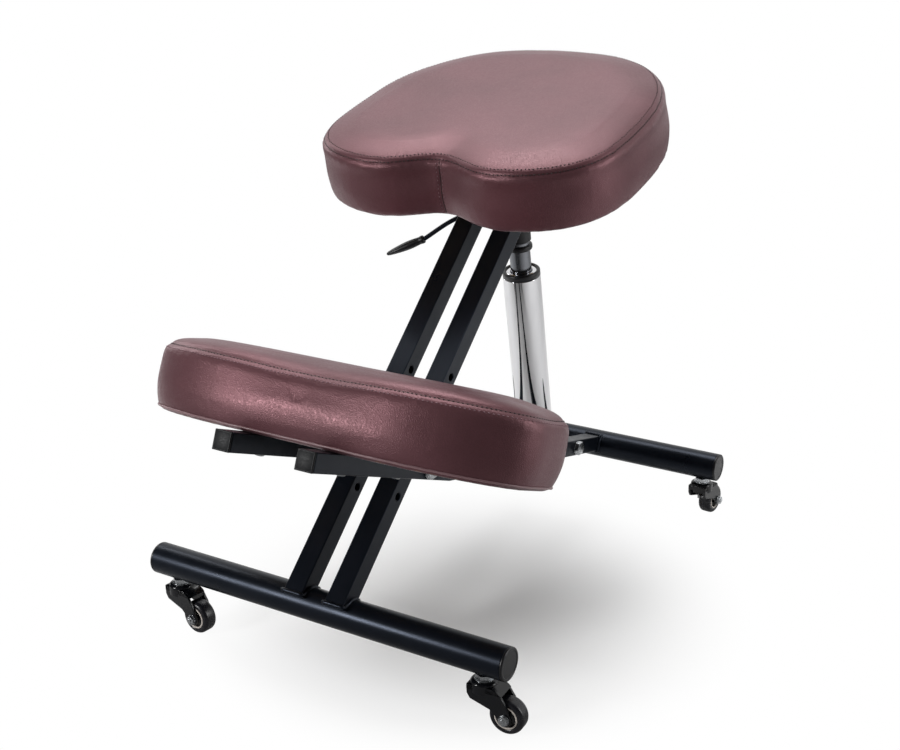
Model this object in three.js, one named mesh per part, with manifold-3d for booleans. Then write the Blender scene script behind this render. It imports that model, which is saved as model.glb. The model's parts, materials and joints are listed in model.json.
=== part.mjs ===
// A kneeling chair on four casters, in millimetres, +Z up, knee pad towards -Y.
// Two steel frames cross at the main pivot. The seat frame stands on the front crossbar and carries
// the seat. The knee frame stands on the rear crossbar and carries the knee pad. A gas lift between
// the knee frame and the seat bracket sets the height, and a hand lever releases it.
import * as THREE from 'three';
import { mergeVertices } from 'three/addons/utils/BufferGeometryUtils.js';
import Module from 'manifold-3d';

const wasm = await Module();
wasm.setup();

// Clearances
const weldGap = 0.3; // between two faces that meet, or that are welded
const runGap = 0.3; // between a pin and its bore, all round

// Crossbars, and the square bars of both frames
const crossbarLength = 482;
const crossbarRadius = 19;
const crossbarWall = 1.5;
const crossbarHeight = 81; // floor to the axis
const crossbarSpacing = 596;
const barSide = 25;
const kneeBarSide = 22;
const barWall = 1.5;
const pivotWasher = 1.4;

// Seat frame: its bars lean back from the front crossbar
const seatBarPitch = 56;
const seatBarLean = 42.5; // degrees above the floor
const seatBarOffset = 12; // the bars' centre line passes this far above the crossbar's axis
const mainPivotRun = 183; // along the bars, from the crossbar to the main pivot
const heightHolePitch = 40;
const heightHolesAbove = 3;
const heightHolesBelow = 1;
const heightHoleRadius = 4.5;

// Knee frame: its bars are bent behind the main pivot
const kneeBarTilt = 22.3; // front part, degrees up to the front
const kneeBendRun = 53; // from the main pivot back to the bend
const kneeBarReach = 281; // from the bend to the front end
const rearEndRise = 1.5; // the bars meet the rear crossbar this far above its axis

// Main pivot bolts and the foot bolt, M10
const boltRadius = 5;
const boltHeadFlats = 17;
const boltHeadHeight = 6.4;
const boltNutHeight = 8;
const boltEnd = 2; // past its nut
const washerRadius = 10;
const footRun = 345; // from the bend back to the foot bolt, along the rear part

// Gas lift, with heights along its axis from the foot bolt
const liftLength = 370; // foot bolt to head pin
const columnLean = 10.6; // degrees forward at the top
const columnRadius = 25;
const columnWall = 2;
const cylinderShown = 38; // from the column's top up to the lift head
const footTubeRadius = 12;
const footPlate = 5;
const footBlockInset = 5; // from the column's side in to the foot's block
const bushRim = 8;
const bushSpigot = 30;
const coverRingRadius = 21;
const coverRingThickness = 1;
const cylinderRadius = 14;
const cylinderWall = 1.5;
const cylinderBottom = 66;
const cylinderEnd = 4; // thickness of both ends of the cylinder
const pistonRodRadius = 5;
const pistonHeight = 152;
const pistonThickness = 8;
const rodNutFlats = 16;
const rodNutHeight = 6;
const headReach = 77; // from the head pin down to the head's lower edge
const headRadius = 16.5;
const headCollar = 7;
const headCollarLip = 1;
const headSeatDepth = 47;
const headTongueWidth = 24;
const headTongueRadius = 12;
const headPinRadius = 5;
const headPinPlay = 1.1; // all round, so that the head follows the fold of the frames
const headChamfer = 3;
const headTongueRoot = 2; // inside the head's round part
const pinClipRadius = 9;
const pinClipThickness = 1.6;
const pinEnd = 1; // past its clips

// Release button and lever
const valvePinRadius = 2.5;
const buttonRadius = 4;
const buttonHeight = 2.7;
const buttonTravel = 1.4;
const buttonRoom = 1; // round the button's head
const leverRodRadius = 3;
const leverTongueHeight = 5;
const leverTongueWidth = 6;
const leverTongueReach = 2; // past the lift's axis
const leverTongueTail = 8; // past the lever's pin
const leverRodRoot = 4; // from the lever's pin to the start of the rod
const leverPinOffset = 9; // from the lift's axis
const leverPinRadius = 1.5;
const leverPinCover = 4; // the head's wall over each end of the pin
const leverSlotMargin = 2; // free space above and below the tongue
const leverOut = 40; // first straight stretch, to the left
const leverBend = { out: 80, forward: 23, drop: 17 }; // from the lever's root in the head
const leverCollar = { out: 115, forward: 41, drop: 43 };
const leverTip = { out: 165, forward: 58, drop: 67 };
const paddleWidth = 13;
const paddleThickness = 10;
const paddleTipThickness = 4;
const rodInPaddle = 12;
const paddleThinning = 0.8; // power of its taper
const paddleRounding = 4; // power of its tip's outline
const paddleBlunt = 0.1; // least share of its width, squared

// Seat, measured in its own plane from the middle of its outline
const seatTilt = 15.4; // degrees up to the back
const seatAhead = 38.1; // from the head pin forward to its middle, along the seat
const seatOverPin = 47.5; // from the head pin up to its underside
const seat = {
  halfWidth: 208, back: 229, front: 158, backRound: 2.4, frontRound: 3,
  notchDepth: 30, notchWidth: 50,
  seamHeight: 74, crown: 9, bottomInset: 7,
};

// Knee pad, measured from the middle of its outline
const kneePadMiddle = 161; // from the bend, along the bars
const kneePadAside = 9; // its middle lies this far to the right of the frame's
const knee = {
  halfWidth: 250, back: 106, front: 106, backRound: 4, frontRound: 2.4,
  notchDepth: 8, notchWidth: 90,
  seamHeight: 76, crown: 13, bottomInset: 12,
};

// Both cushions
const coverThickness = 1.2;
const boardThickness = 12;
const coverHem = 22; // width of the cover that is turned under the board
const cushionSegments = 32;
const sideSteps = [[0.4, 0.2], [0, 0.6]]; // share of the bottom inset, share of the seam's height
const shoulder = [1, 0.88]; // inset, share of the seam's height
const seamInset = 5;
const crownSteps = [[14, 0.3], [32, 0.68], [60, 0.92]]; // inset, share of the crown

// Seat bracket and the screws of both boards
const bracketPlate = { width: 150, length: 150, thickness: 4 };
const bracketPlateBack = 60; // from the seat's middle back to the plate's middle
const earThickness = 3;
const earRadius = 12;
const earRoom = 1; // between the ears and the head's shoulder
const earRoot = 46; // width of the ears at the plate
const screwRadius = 3;
const screwHeadRadius = 6;
const screwHeadHeight = 3.5;
const screwDepth = 10; // in the board
const screwEdge = 14; // from the plate's edges
const screwHoleEnd = 1; // past the screw's tip
const kneeScrewPitch = 110;

// Casters
const wheelRadius = 20;
const wheelWidth = 18;
const casterTrail = 29;
const casterInset = { front: 31, rear: 24 }; // stem to the end of the crossbar
const stemRadius = 5;
const stemReach = 14; // inside the crossbar
const stemNutFlats = 17;
const stemNutHeight = 6;
const stemInsertRadius = 8;
const stemInsertHeight = 9;
const kingpinRadius = 4;
const kingpinHeadRadius = 7;
const kingpinHeadHeight = 3;
const forkHeadRadius = 15;
const forkTop = 55.5;
const forkRoof = 10;
const forkWidth = 26;
const forkBossRadius = 8;
const forkBossStart = 0.4; // share of the boss below the axle where the front edge meets it
const forkShoulder = 2; // rounding at the top of the fork
const forkSkirt = 4; // below the roof
const wheelSideGap = 0.6;
const hubRadius = 13.3;
const hubRecess = 2.5;
const hubRingWidth = 1.8;
const tyreEdge = 4;
const axleRadius = 3;
const axleHeadFlats = 10;
const axleHeadHeight = 4;
const axleEnd = 1.5;
const casterSwivels = {
  front_left: -6,
  front_right: 4,
  rear_left: 60,
  rear_right: 85,
};

// End caps and plugs
const capFlange = 3;
const capDome = 1.2;
const capDomeStep = { reach: 0.6, drop: 0.2 }; // shares of the radius and of the dome
const capSpigot = 12;
const plugHead = 3;
const plugSpigot = 15;
const plugWall = 2;

const bite = 1; // joined shapes reach into each other, and drills run past a face
const roundSteps = 22;
const wheelSteps = 16;
const smallSteps = 10;
const holeSteps = 8;
const filletSteps = 8;
const rodSteps = 14; // along the lever's rod
const rodSides = 5; // quarter turns of its section
const paddleSteps = 5;
const outlineTries = 20; // for each point of a cushion's outline
const radians = THREE.MathUtils.degToRad;

// Colours and finishes
const finish = (color, roughness, metalness) => ({ color, roughness, metalness });
const finishes = {
  powderCoat: finish(0x17191d, 0.42, 0.3),
  blackPlastic: finish(0x121316, 0.45, 0),
  plugPlastic: finish(0x3a3b46, 0.6, 0),
  chrome: finish(0xd9dbde, 0.12, 1),
  steel: finish(0xb4b7bb, 0.35, 1),
  cover: finish(0x6d4c50, 0.42, 0.1),
  foam: finish(0xd8cfae, 0.95, 0),
  plywood: finish(0xb99768, 0.8, 0),
  tyre: finish(0x15151a, 0.35, 0),
  hub: finish(0xd9d2ca, 0.5, 0),
};

// Points of the side view, as (y, z)
const heading = (degrees) => new THREE.Vector2(Math.cos(radians(degrees)), Math.sin(radians(degrees)));
const along = (point, direction, run) => point.clone().addScaledVector(direction, run);
const crossing = (pointA, directionA, pointB, directionB) => {
  const apart = pointB.clone().sub(pointA);
  const run = apart.cross(directionB) / directionA.cross(directionB);
  return along(pointA, directionA, run);
};

const frontAxle = new THREE.Vector2(-crossbarSpacing / 2, crossbarHeight);
const rearAxle = new THREE.Vector2(crossbarSpacing / 2, crossbarHeight);

const seatBarWay = heading(seatBarLean);
const seatBarUp = heading(seatBarLean + 90);
const seatBarFoot = along(frontAxle, seatBarUp, seatBarOffset);
const mainPivot = along(seatBarFoot, seatBarWay, mainPivotRun);

const kneeBarForward = heading(180 - kneeBarTilt);
const kneeBend = along(mainPivot, kneeBarForward, -kneeBendRun);
const kneeBarFront = along(kneeBend, kneeBarForward, kneeBarReach);
const kneeBarRear = new THREE.Vector2(rearAxle.x, rearAxle.y + rearEndRise);
const kneeBarBack = kneeBarRear.clone().sub(kneeBend).normalize();
const footPivot = along(kneeBend, kneeBarBack, footRun);

const columnWay = heading(90 + columnLean);
const headPivot = along(footPivot, columnWay, liftLength);
const headBottom = liftLength - headReach;
const columnTop = headBottom - cylinderShown;

const seatWay = heading(seatTilt);
const seatUp = heading(seatTilt + 90);
const seatOrigin = along(along(headPivot, seatUp, seatOverPin), seatWay, -seatAhead);
const plateTop = coverThickness;
const plateBottom = plateTop - bracketPlate.thickness;

const kneeBarTop = kneeBarSide / 2 + weldGap;
const kneeUp = heading(90 - kneeBarTilt);
const kneeOrigin = along(along(kneeBend, kneeBarForward, kneePadMiddle), kneeUp, kneeBarTop);

const kneeBarPitch = seatBarPitch + barSide + kneeBarSide + 2 * (pivotWasher + 2 * weldGap);
const seatBarX = seatBarPitch / 2;
const kneeBarX = kneeBarPitch / 2;
const casterX = {
  front: crossbarLength / 2 - casterInset.front,
  rear: crossbarLength / 2 - casterInset.rear,
};

// Solids
const solidOf = (geometry) => {
  const plain = geometry.clone();
  plain.deleteAttribute('normal');
  plain.deleteAttribute('uv');
  const merged = mergeVertices(plain, 1e-4);
  return new wasm.Manifold(new wasm.Mesh({
    numProp: 3,
    vertProperties: new Float32Array(merged.attributes.position.array),
    triVerts: new Uint32Array(merged.index.array),
  }));
};

const geometryOf = (solid) => {
  const mesh = solid.getMesh();
  const geometry = new THREE.BufferGeometry();
  geometry.setAttribute('position', new THREE.BufferAttribute(new Float32Array(mesh.vertProperties), 3));
  geometry.setIndex(new THREE.BufferAttribute(new Uint32Array(mesh.triVerts), 1));
  return geometry;
};

const cut = (body, tools) => {
  const solid = tools.reduce((rest, tool) => rest.subtract(solidOf(tool)), solidOf(body));
  return geometryOf(solid);
};

const join = (bodies) => {
  const solids = bodies.map(solidOf);
  return geometryOf(solids.reduce((whole, solid) => whole.add(solid)));
};

const common = (bodyA, bodyB) => geometryOf(solidOf(bodyA).intersect(solidOf(bodyB)));

const block = (size, centre) => {
  const geometry = new THREE.BoxGeometry(size[0], size[1], size[2]);
  return geometry.translate(centre[0], centre[1], centre[2]);
};

// A cylinder, or a hexagon with six sides, between two points
const between = (radius, from, to, sides = smallSteps) => {
  const start = new THREE.Vector3(...from);
  const end = new THREE.Vector3(...to);
  const way = end.clone().sub(start);
  const geometry = new THREE.CylinderGeometry(radius, radius, way.length(), sides);
  const turn = new THREE.Quaternion().setFromUnitVectors(
    new THREE.Vector3(0, 1, 0),
    way.clone().normalize(),
  );
  geometry.applyQuaternion(turn);
  const middle = start.add(end).multiplyScalar(0.5);
  return geometry.translate(middle.x, middle.y, middle.z);
};

// A drill whose flats lie on the bore's radius, so that a pin of that radius clears them
const drill = (radius, from, to, sides = holeSteps) => between(
  radius / Math.cos(Math.PI / sides),
  from,
  to,
  sides,
);

const hexagon = (flats, from, to) => between(flats / Math.sqrt(3), from, to, 6);

// A turned solid about +Z, from a closed profile of (radius, height) points
const turned = (profile, sides = roundSteps) => {
  const points = profile.map(([radius, height]) => new THREE.Vector2(radius, height));
  if (profile[0][0] > 0) points.push(points[0].clone());
  const geometry = new THREE.LatheGeometry(points, sides);
  return geometry.rotateX(Math.PI / 2);
};

const ring = (outer, inner, bottom, top, sides = roundSteps) => turned([
  [inner, bottom],
  [outer, bottom],
  [outer, top],
  [inner, top],
], sides);

// A plate of a side view outline, between two places along X
const sidePlate = (outline, fromX, toX) => {
  const shape = outline instanceof THREE.Shape ? outline : new THREE.Shape(outline);
  const geometry = new THREE.ExtrudeGeometry(shape, {
    depth: toX - fromX,
    bevelEnabled: false,
    curveSegments: filletSteps,
  });
  const axes = new THREE.Matrix4().makeBasis(
    new THREE.Vector3(0, 1, 0),
    new THREE.Vector3(0, 0, 1),
    new THREE.Vector3(1, 0, 0),
  );
  return geometry.applyMatrix4(axes).translate(fromX, 0, 0);
};

// The outline of a strip of even width along a bent line of side view points
const strip = (line, halfWidth) => {
  const sideOf = (sign) => line.map((point, index) => {
    const before = line[Math.max(index - 1, 0)];
    const after = line[Math.min(index + 1, line.length - 1)];
    const wayIn = point.equals(before) ? null : point.clone().sub(before).normalize();
    const wayOut = point.equals(after) ? null : after.clone().sub(point).normalize();
    const first = wayIn ?? wayOut;
    const second = wayOut ?? wayIn;
    const normal = new THREE.Vector2(-first.y - second.y, first.x + second.x).normalize();
    const stretch = halfWidth / normal.dot(new THREE.Vector2(-first.y, first.x));
    return along(point, normal, sign * stretch);
  });
  return [...sideOf(1), ...sideOf(-1).reverse()];
};

// Scene graph
const chair = new THREE.Group();

const addPiece = (group, name, geometry, look) => {
  const mesh = new THREE.Mesh(geometry, new THREE.MeshStandardMaterial(look));
  mesh.name = name;
  group.add(mesh);
  return mesh;
};

// A group whose local Y and Z lie turned in the side view
const turnedGroup = (origin, angle) => {
  const group = new THREE.Group();
  group.position.set(0, origin.x, origin.y);
  group.rotation.x = angle;
  chair.add(group);
  return group;
};

const sides = { left: -1, right: 1 };

// Crossbars, their caps, and the holes for the caster stems
const makeCrossbar = (end, axle) => {
  const tubeHalf = crossbarLength / 2 - capFlange - weldGap;
  const bore = crossbarRadius - crossbarWall;
  const tube = ring(crossbarRadius, bore, -tubeHalf, tubeHalf).rotateY(Math.PI / 2);
  const stemHoles = Object.values(sides).map((side) => drill(
    stemRadius + runGap,
    [side * casterX[end], 0, -crossbarRadius * 2],
    [side * casterX[end], 0, 0],
  ));
  const group = turnedGroup(axle, 0);
  addPiece(group, `${end}_crossbar`, cut(tube, stemHoles), finishes.powderCoat);

  for (const [name, side] of Object.entries(sides)) {
    const spigot = bore - weldGap;
    const flange = capFlange - capDome;
    const cap = turned([
      [0, -capSpigot],
      [spigot, -capSpigot],
      [spigot, 0],
      [crossbarRadius, 0],
      [crossbarRadius, flange],
      [crossbarRadius * capDomeStep.reach, capFlange - capDome * capDomeStep.drop],
      [0, capFlange],
    ]).rotateY(side * Math.PI / 2);
    cap.translate(side * (tubeHalf + weldGap), 0, 0);
    addPiece(group, `${end}_cap_${name}`, cap, finishes.blackPlastic);
  }
};

makeCrossbar('front', frontAxle);
makeCrossbar('rear', rearAxle);

// The space that a crossbar takes out of a bar welded on it
const crossbarSpace = (axle, centreX) => between(
  crossbarRadius + weldGap,
  [centreX - barSide, axle.x, axle.y],
  [centreX + barSide, axle.x, axle.y],
  roundSteps,
);

const hole = (point, radius, centreX) => drill(
  radius,
  [centreX - barSide, point.x, point.y],
  [centreX + barSide, point.x, point.y],
);

const squareBar = (line, side, centreX) => {
  const half = side / 2;
  const innerLine = [
    along(line[0], line[0].clone().sub(line[1]).normalize(), side),
    ...line.slice(1, -1),
    along(line.at(-1), line.at(-1).clone().sub(line.at(-2)).normalize(), side),
  ];
  const outer = sidePlate(strip(line, half), centreX - half, centreX + half);
  const inner = sidePlate(
    strip(innerLine, half - barWall),
    centreX - half + barWall,
    centreX + half - barWall,
  );
  return cut(outer, [inner]);
};

// Seat bars, from the front crossbar to the underside of the bracket plate
const plateUnderPoint = along(seatOrigin, seatUp, plateBottom - weldGap);
const seatBarTop = along(
  crossing(seatBarFoot, seatBarWay, plateUnderPoint, seatWay),
  seatBarWay,
  barSide * 2,
);
const plateUnderEnds = [-2, 2].map(
  (lengths) => along(plateUnderPoint, seatWay, lengths * bracketPlate.length),
);
const abovePlateUnder = sidePlate([
  ...plateUnderEnds,
  ...plateUnderEnds.map((point) => along(point, seatUp, bracketPlate.length)).reverse(),
], -bracketPlate.width, bracketPlate.width);

for (const [name, side] of Object.entries(sides)) {
  const centreX = side * seatBarX;
  const tools = [
    crossbarSpace(frontAxle, centreX),
    abovePlateUnder,
    hole(mainPivot, boltRadius + runGap, centreX),
  ];
  for (let step = -heightHolesBelow; step <= heightHolesAbove; step += 1) {
    const point = along(mainPivot, seatBarWay, step * heightHolePitch);
    if (step !== 0) tools.push(hole(point, heightHoleRadius, centreX));
  }
  const bar = squareBar([seatBarFoot, seatBarTop], barSide, centreX);
  addPiece(chair, `seat_bar_${name}`, cut(bar, tools), finishes.powderCoat);
}

// Knee bars, with the holes for both bolts and for the board's screws, and their front plugs
const kneeScrewPoints = [-kneeScrewPitch / 2, kneeScrewPitch / 2].map(
  (run) => along(kneeBend, kneeBarForward, kneePadMiddle + run),
);

const kneeScrewHole = (point, centreX) => {
  const bottom = along(point, kneeUp, -kneeBarSide);
  const top = along(point, kneeUp, kneeBarSide);
  return drill(
    screwRadius + runGap,
    [centreX, bottom.x, bottom.y],
    [centreX, top.x, top.y],
  );
};

for (const [name, side] of Object.entries(sides)) {
  const centreX = side * kneeBarX;
  const bar = squareBar([kneeBarFront, kneeBend, kneeBarRear], kneeBarSide, centreX);
  const tools = [
    crossbarSpace(rearAxle, centreX),
    hole(mainPivot, boltRadius + runGap, centreX),
    hole(footPivot, boltRadius + runGap, centreX),
    ...kneeScrewPoints.map((point) => kneeScrewHole(point, centreX)),
  ];
  addPiece(chair, `knee_bar_${name}`, cut(bar, tools), finishes.powderCoat);

  const spigotSide = kneeBarSide - 2 * (barWall + weldGap);
  const plug = join([
    block([kneeBarSide, plugHead, kneeBarSide], [0, -plugHead / 2 - weldGap, 0]),
    block([spigotSide, plugSpigot + weldGap, spigotSide], [0, (plugSpigot - weldGap) / 2, 0]),
  ]);
  const pocketSide = spigotSide - 2 * plugWall;
  const pocket = block([pocketSide, plugSpigot, pocketSide], [0, plugWall + plugSpigot / 2, 0]);
  const plugGroup = turnedGroup(kneeBarFront, -radians(kneeBarTilt));
  plugGroup.position.x = centreX;
  addPiece(plugGroup, `knee_plug_${name}`, cut(plug, [pocket]), finishes.plugPlastic);
}

// Main pivot: a bolt with its nut on each side, and a washer between the two frames
const makePivot = (name, side) => {
  const { x: y, y: z } = mainPivot;
  const nutFace = side * (seatBarX - barSide / 2 - weldGap);
  const headFace = side * (kneeBarX + kneeBarSide / 2 + weldGap);
  const nutEnd = nutFace - side * boltNutHeight;
  const bolt = join([
    between(boltRadius, [nutEnd, y, z], [headFace + side * boltHeadHeight / 2, y, z]),
    hexagon(boltHeadFlats, [headFace, y, z], [headFace + side * boltHeadHeight, y, z]),
    hexagon(boltHeadFlats, [nutEnd, y, z], [nutFace, y, z]),
  ]);
  addPiece(chair, `pivot_bolt_${name}`, bolt, finishes.steel);

  const washerStart = side * (seatBarX + barSide / 2 + weldGap);
  const washer = cut(
    between(washerRadius, [washerStart, y, z], [washerStart + side * pivotWasher, y, z]),
    [hole(mainPivot, boltRadius + runGap, washerStart)],
  );
  addPiece(chair, `pivot_washer_${name}`, washer, finishes.steel);
};

for (const [name, side] of Object.entries(sides)) makePivot(name, side);

// The long bolt that carries the foot of the lift, with its nut
const kneeBarFace = kneeBarX + kneeBarSide / 2 + weldGap;
const footBolt = join([
  between(
    boltRadius,
    [-kneeBarFace - boltNutHeight - boltEnd, footPivot.x, footPivot.y],
    [kneeBarFace + boltHeadHeight / 2, footPivot.x, footPivot.y],
  ),
  hexagon(
    boltHeadFlats,
    [kneeBarFace, footPivot.x, footPivot.y],
    [kneeBarFace + boltHeadHeight, footPivot.x, footPivot.y],
  ),
  hexagon(
    boltHeadFlats,
    [-kneeBarFace, footPivot.x, footPivot.y],
    [-kneeBarFace - boltNutHeight, footPivot.x, footPivot.y],
  ),
]);
addPiece(chair, 'foot_bolt', footBolt, finishes.steel);

// Cushions: an outline by angle from the back, and a profile of (inset, height) points
const outlineAt = (form, angle, inset) => {
  const reach = Math.cos(angle) > 0 ? form.back : form.front;
  const power = Math.cos(angle) > 0 ? form.backRound : form.frontRound;
  const across = Math.abs(Math.sin(angle)) / form.halfWidth;
  const deep = Math.abs(Math.cos(angle)) / reach;
  const radius = (across ** power + deep ** power) ** (-1 / power) - inset;
  const x = radius * Math.sin(angle);
  const y = radius * Math.cos(angle);
  const notch = form.notchDepth * Math.exp(-((x / form.notchWidth) ** 2));
  return Math.cos(angle) < 0 ? [x, y + notch] : [x, y];
};

// The angles of points that lie evenly along a cushion's outline
const evenAngles = (form) => {
  const fine = cushionSegments * outlineTries;
  const lengths = [0];
  for (let step = 1; step <= fine; step += 1) {
    const from = outlineAt(form, 2 * Math.PI * (step - 1) / fine, 0);
    const to = outlineAt(form, 2 * Math.PI * step / fine, 0);
    lengths.push(lengths.at(-1) + Math.hypot(to[0] - from[0], to[1] - from[1]));
  }
  const total = lengths.at(-1);
  return Array.from({ length: cushionSegments }, (_, index) => {
    const wanted = total * index / cushionSegments;
    const step = lengths.findIndex((length) => length >= wanted - 1e-9);
    return 2 * Math.PI * step / fine;
  });
};

const cushionProfile = (form) => {
  const seam = form.seamHeight;
  return [
    [form.bottomInset, 0],
    ...sideSteps.map(([inset, height]) => [form.bottomInset * inset, seam * height]),
    [shoulder[0], seam * shoulder[1]],
    [seamInset, seam],
    ...crownSteps.map(([inset, share]) => [inset, seam + form.crown * share]),
  ];
};

// The same profile, moved inwards by a thickness
const shrunk = (profile, thickness) => {
  const middle = profile[Math.floor(profile.length / 2)][1] / 2;
  return profile.map(([inset, height]) => [
    inset + thickness,
    height < middle ? height + thickness : height - thickness,
  ]);
};

// A closed cushion body: a turned solid whose points are then moved onto the outline
const cushionBody = (form, profile, topHeight) => {
  const farthest = Math.max(...profile.map(([inset]) => inset));
  const reference = farthest * 2;
  const points = [
    new THREE.Vector2(0, profile[0][1]),
    ...profile.map(([inset, height]) => new THREE.Vector2(reference - inset, height)),
    new THREE.Vector2(0, topHeight),
  ];
  const geometry = new THREE.LatheGeometry(points, cushionSegments).rotateX(Math.PI / 2);
  const angles = evenAngles(form);
  const place = geometry.attributes.position;
  for (let index = 0; index < place.count; index += 1) {
    const turn = Math.atan2(place.getX(index), place.getY(index)) / (2 * Math.PI);
    const segment = Math.round((turn + 1) * cushionSegments) % cushionSegments;
    const radius = Math.hypot(place.getX(index), place.getY(index));
    const inset = Math.min(reference - radius, farthest);
    const share = Math.min(radius / (reference - farthest), 1);
    const [x, y] = outlineAt(form, angles[segment], inset);
    place.setXY(index, x * share, y * share);
  }
  return geometry;
};

const slabSide = 4 * knee.halfWidth; // wider than both cushions
const slab = (bottom, top) => block([slabSide, slabSide, top - bottom], [0, 0, (top + bottom) / 2]);

const makeCushion = (group, name, form, screwPoints) => {
  const profile = cushionProfile(form);
  const top = form.seamHeight + form.crown;
  const liner = shrunk(profile, coverThickness);
  const core = shrunk(profile, coverThickness + weldGap);
  const boardBottom = coverThickness + weldGap;
  const boardTop = boardBottom + boardThickness;
  const hem = form.bottomInset + coverHem;
  const shell = cushionBody(form, profile, top);
  const cavity = cushionBody(form, liner, top - coverThickness);
  const opening = cushionBody(form, [[hem, -boardThickness], [hem, boardThickness]], boardThickness);
  const coreBody = cushionBody(form, core, top - coverThickness - weldGap);
  const screwHoles = screwPoints.map(([x, y]) => drill(
    screwRadius + runGap,
    [x, y, -boardThickness],
    [x, y, boardBottom + screwDepth + screwHoleEnd],
  ));
  addPiece(group, `${name}_cover`, cut(shell, [cavity, opening]), finishes.cover);
  addPiece(group, `${name}_foam`, common(coreBody, slab(boardTop + weldGap, top)), finishes.foam);
  const board = common(coreBody, slab(0, boardTop));
  addPiece(group, `${name}_board`, cut(board, screwHoles), finishes.plywood);
};

const screwTo = (headFace, tip, x, y) => join([
  between(screwRadius, [x, y, headFace - screwHeadHeight / 2], [x, y, tip], holeSteps),
  between(screwHeadRadius, [x, y, headFace - screwHeadHeight], [x, y, headFace], holeSteps),
]);

// The seat, its bracket plate with the lift ears, and its screws, in the seat's plane
const seatGroup = turnedGroup(seatOrigin, radians(seatTilt));
const inSeatPlane = (point) => {
  const offset = point.clone().sub(seatOrigin);
  return new THREE.Vector2(offset.dot(seatWay), offset.dot(seatUp));
};

const seatScrewX = bracketPlate.width / 2 - screwEdge;
const seatScrewY = bracketPlate.length / 2 - screwEdge;
const seatScrewPlaces = {
  front_left: [-seatScrewX, bracketPlateBack - seatScrewY],
  front_right: [seatScrewX, bracketPlateBack - seatScrewY],
  back_left: [-seatScrewX, bracketPlateBack + seatScrewY],
  back_right: [seatScrewX, bracketPlateBack + seatScrewY],
};
const seatScrewPoints = Object.values(seatScrewPlaces);
makeCushion(seatGroup, 'seat', seat, seatScrewPoints);

const ear = (side) => {
  const pin = inSeatPlane(headPivot);
  const outline = new THREE.Shape();
  outline.moveTo(pin.x + earRadius, pin.y);
  outline.lineTo(pin.x + earRoot - earRadius, plateBottom + bite);
  outline.lineTo(pin.x - earRadius, plateBottom + bite);
  outline.lineTo(pin.x - earRadius, pin.y);
  outline.absarc(pin.x, pin.y, earRadius, Math.PI, 2 * Math.PI, false);
  const outerX = seatBarX - barSide / 2 - weldGap;
  const edges = [side * outerX, side * (outerX - earThickness)];
  return sidePlate(outline, Math.min(...edges), Math.max(...edges));
};

const headPinInPlane = inSeatPlane(headPivot);
const bracketHoles = [
  ...seatScrewPoints.map(([x, y]) => drill(
    screwRadius + runGap,
    [x, y, plateBottom - bite],
    [x, y, plateTop + bite],
  )),
  drill(
    headPinRadius + runGap,
    [-barSide, headPinInPlane.x, headPinInPlane.y],
    [barSide, headPinInPlane.x, headPinInPlane.y],
  ),
];
const bracket = join([
  block(
    [bracketPlate.width, bracketPlate.length, bracketPlate.thickness],
    [0, bracketPlateBack, plateTop - bracketPlate.thickness / 2],
  ),
  ear(sides.left),
  ear(sides.right),
]);
addPiece(seatGroup, 'seat_bracket', cut(bracket, bracketHoles), finishes.powderCoat);

const screwTip = coverThickness + weldGap + screwDepth;
for (const [place, [x, y]] of Object.entries(seatScrewPlaces)) {
  const screw = screwTo(plateBottom - weldGap, screwTip, x, y);
  addPiece(seatGroup, `seat_screw_${place}`, screw, finishes.steel);
}

// The knee pad, in the plane of the knee bars' top face, with its board drilled for four screws
const kneeGroup = turnedGroup(kneeOrigin, -radians(kneeBarTilt));
kneeGroup.position.x = kneePadAside;
const kneeScrewPlaces = Object.values(sides).flatMap((side) => [-1, 1].map((end) => [
  side * kneeBarX - kneePadAside,
  end * kneeScrewPitch / 2,
]));
makeCushion(kneeGroup, 'knee', knee, kneeScrewPlaces);

// The gas lift, in a group whose Z runs up its axis from the foot bolt
const liftGroup = turnedGroup(footPivot, radians(columnLean));
const columnBottom = footTubeRadius + footPlate + weldGap;
const columnBore = columnRadius - columnWall;
const footHalf = kneeBarX - kneeBarSide / 2 - weldGap;
const plateTopHeight = footTubeRadius + footPlate;

const foot = cut(
  join([
    between(footTubeRadius, [-footHalf, 0, 0], [footHalf, 0, 0], roundSteps),
    between(columnRadius, [0, 0, footTubeRadius - bite], [0, 0, plateTopHeight], roundSteps),
    block([2 * (columnRadius - footBlockInset), footTubeRadius, footTubeRadius], [0, 0, footTubeRadius / 2]),
  ]),
  [
    drill(boltRadius + runGap, [-footHalf - bite, 0, 0], [footHalf + bite, 0, 0]),
    drill(pistonRodRadius + runGap, [0, 0, footTubeRadius], [0, 0, plateTopHeight + bite]),
  ],
);
addPiece(liftGroup, 'column_foot', foot, finishes.powderCoat);

addPiece(liftGroup, 'column_tube', ring(columnRadius, columnBore, columnBottom, columnTop), finishes.chrome);

const bushBore = cylinderRadius + runGap;
const bushTop = columnTop + weldGap + bushRim;
const recess = bushTop - coverRingThickness;
const bush = turned([
  [bushBore, columnTop - bushSpigot],
  [columnBore - weldGap, columnTop - bushSpigot],
  [columnBore - weldGap, columnTop + weldGap],
  [columnRadius, columnTop + weldGap],
  [columnRadius, bushTop],
  [coverRingRadius + weldGap, bushTop],
  [coverRingRadius + weldGap, recess - weldGap],
  [bushBore, recess - weldGap],
]);
addPiece(liftGroup, 'column_bush', bush, finishes.blackPlastic);
const coverRing = ring(coverRingRadius, bushBore, recess, bushTop);
addPiece(liftGroup, 'column_cover_ring', coverRing, finishes.chrome);

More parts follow.
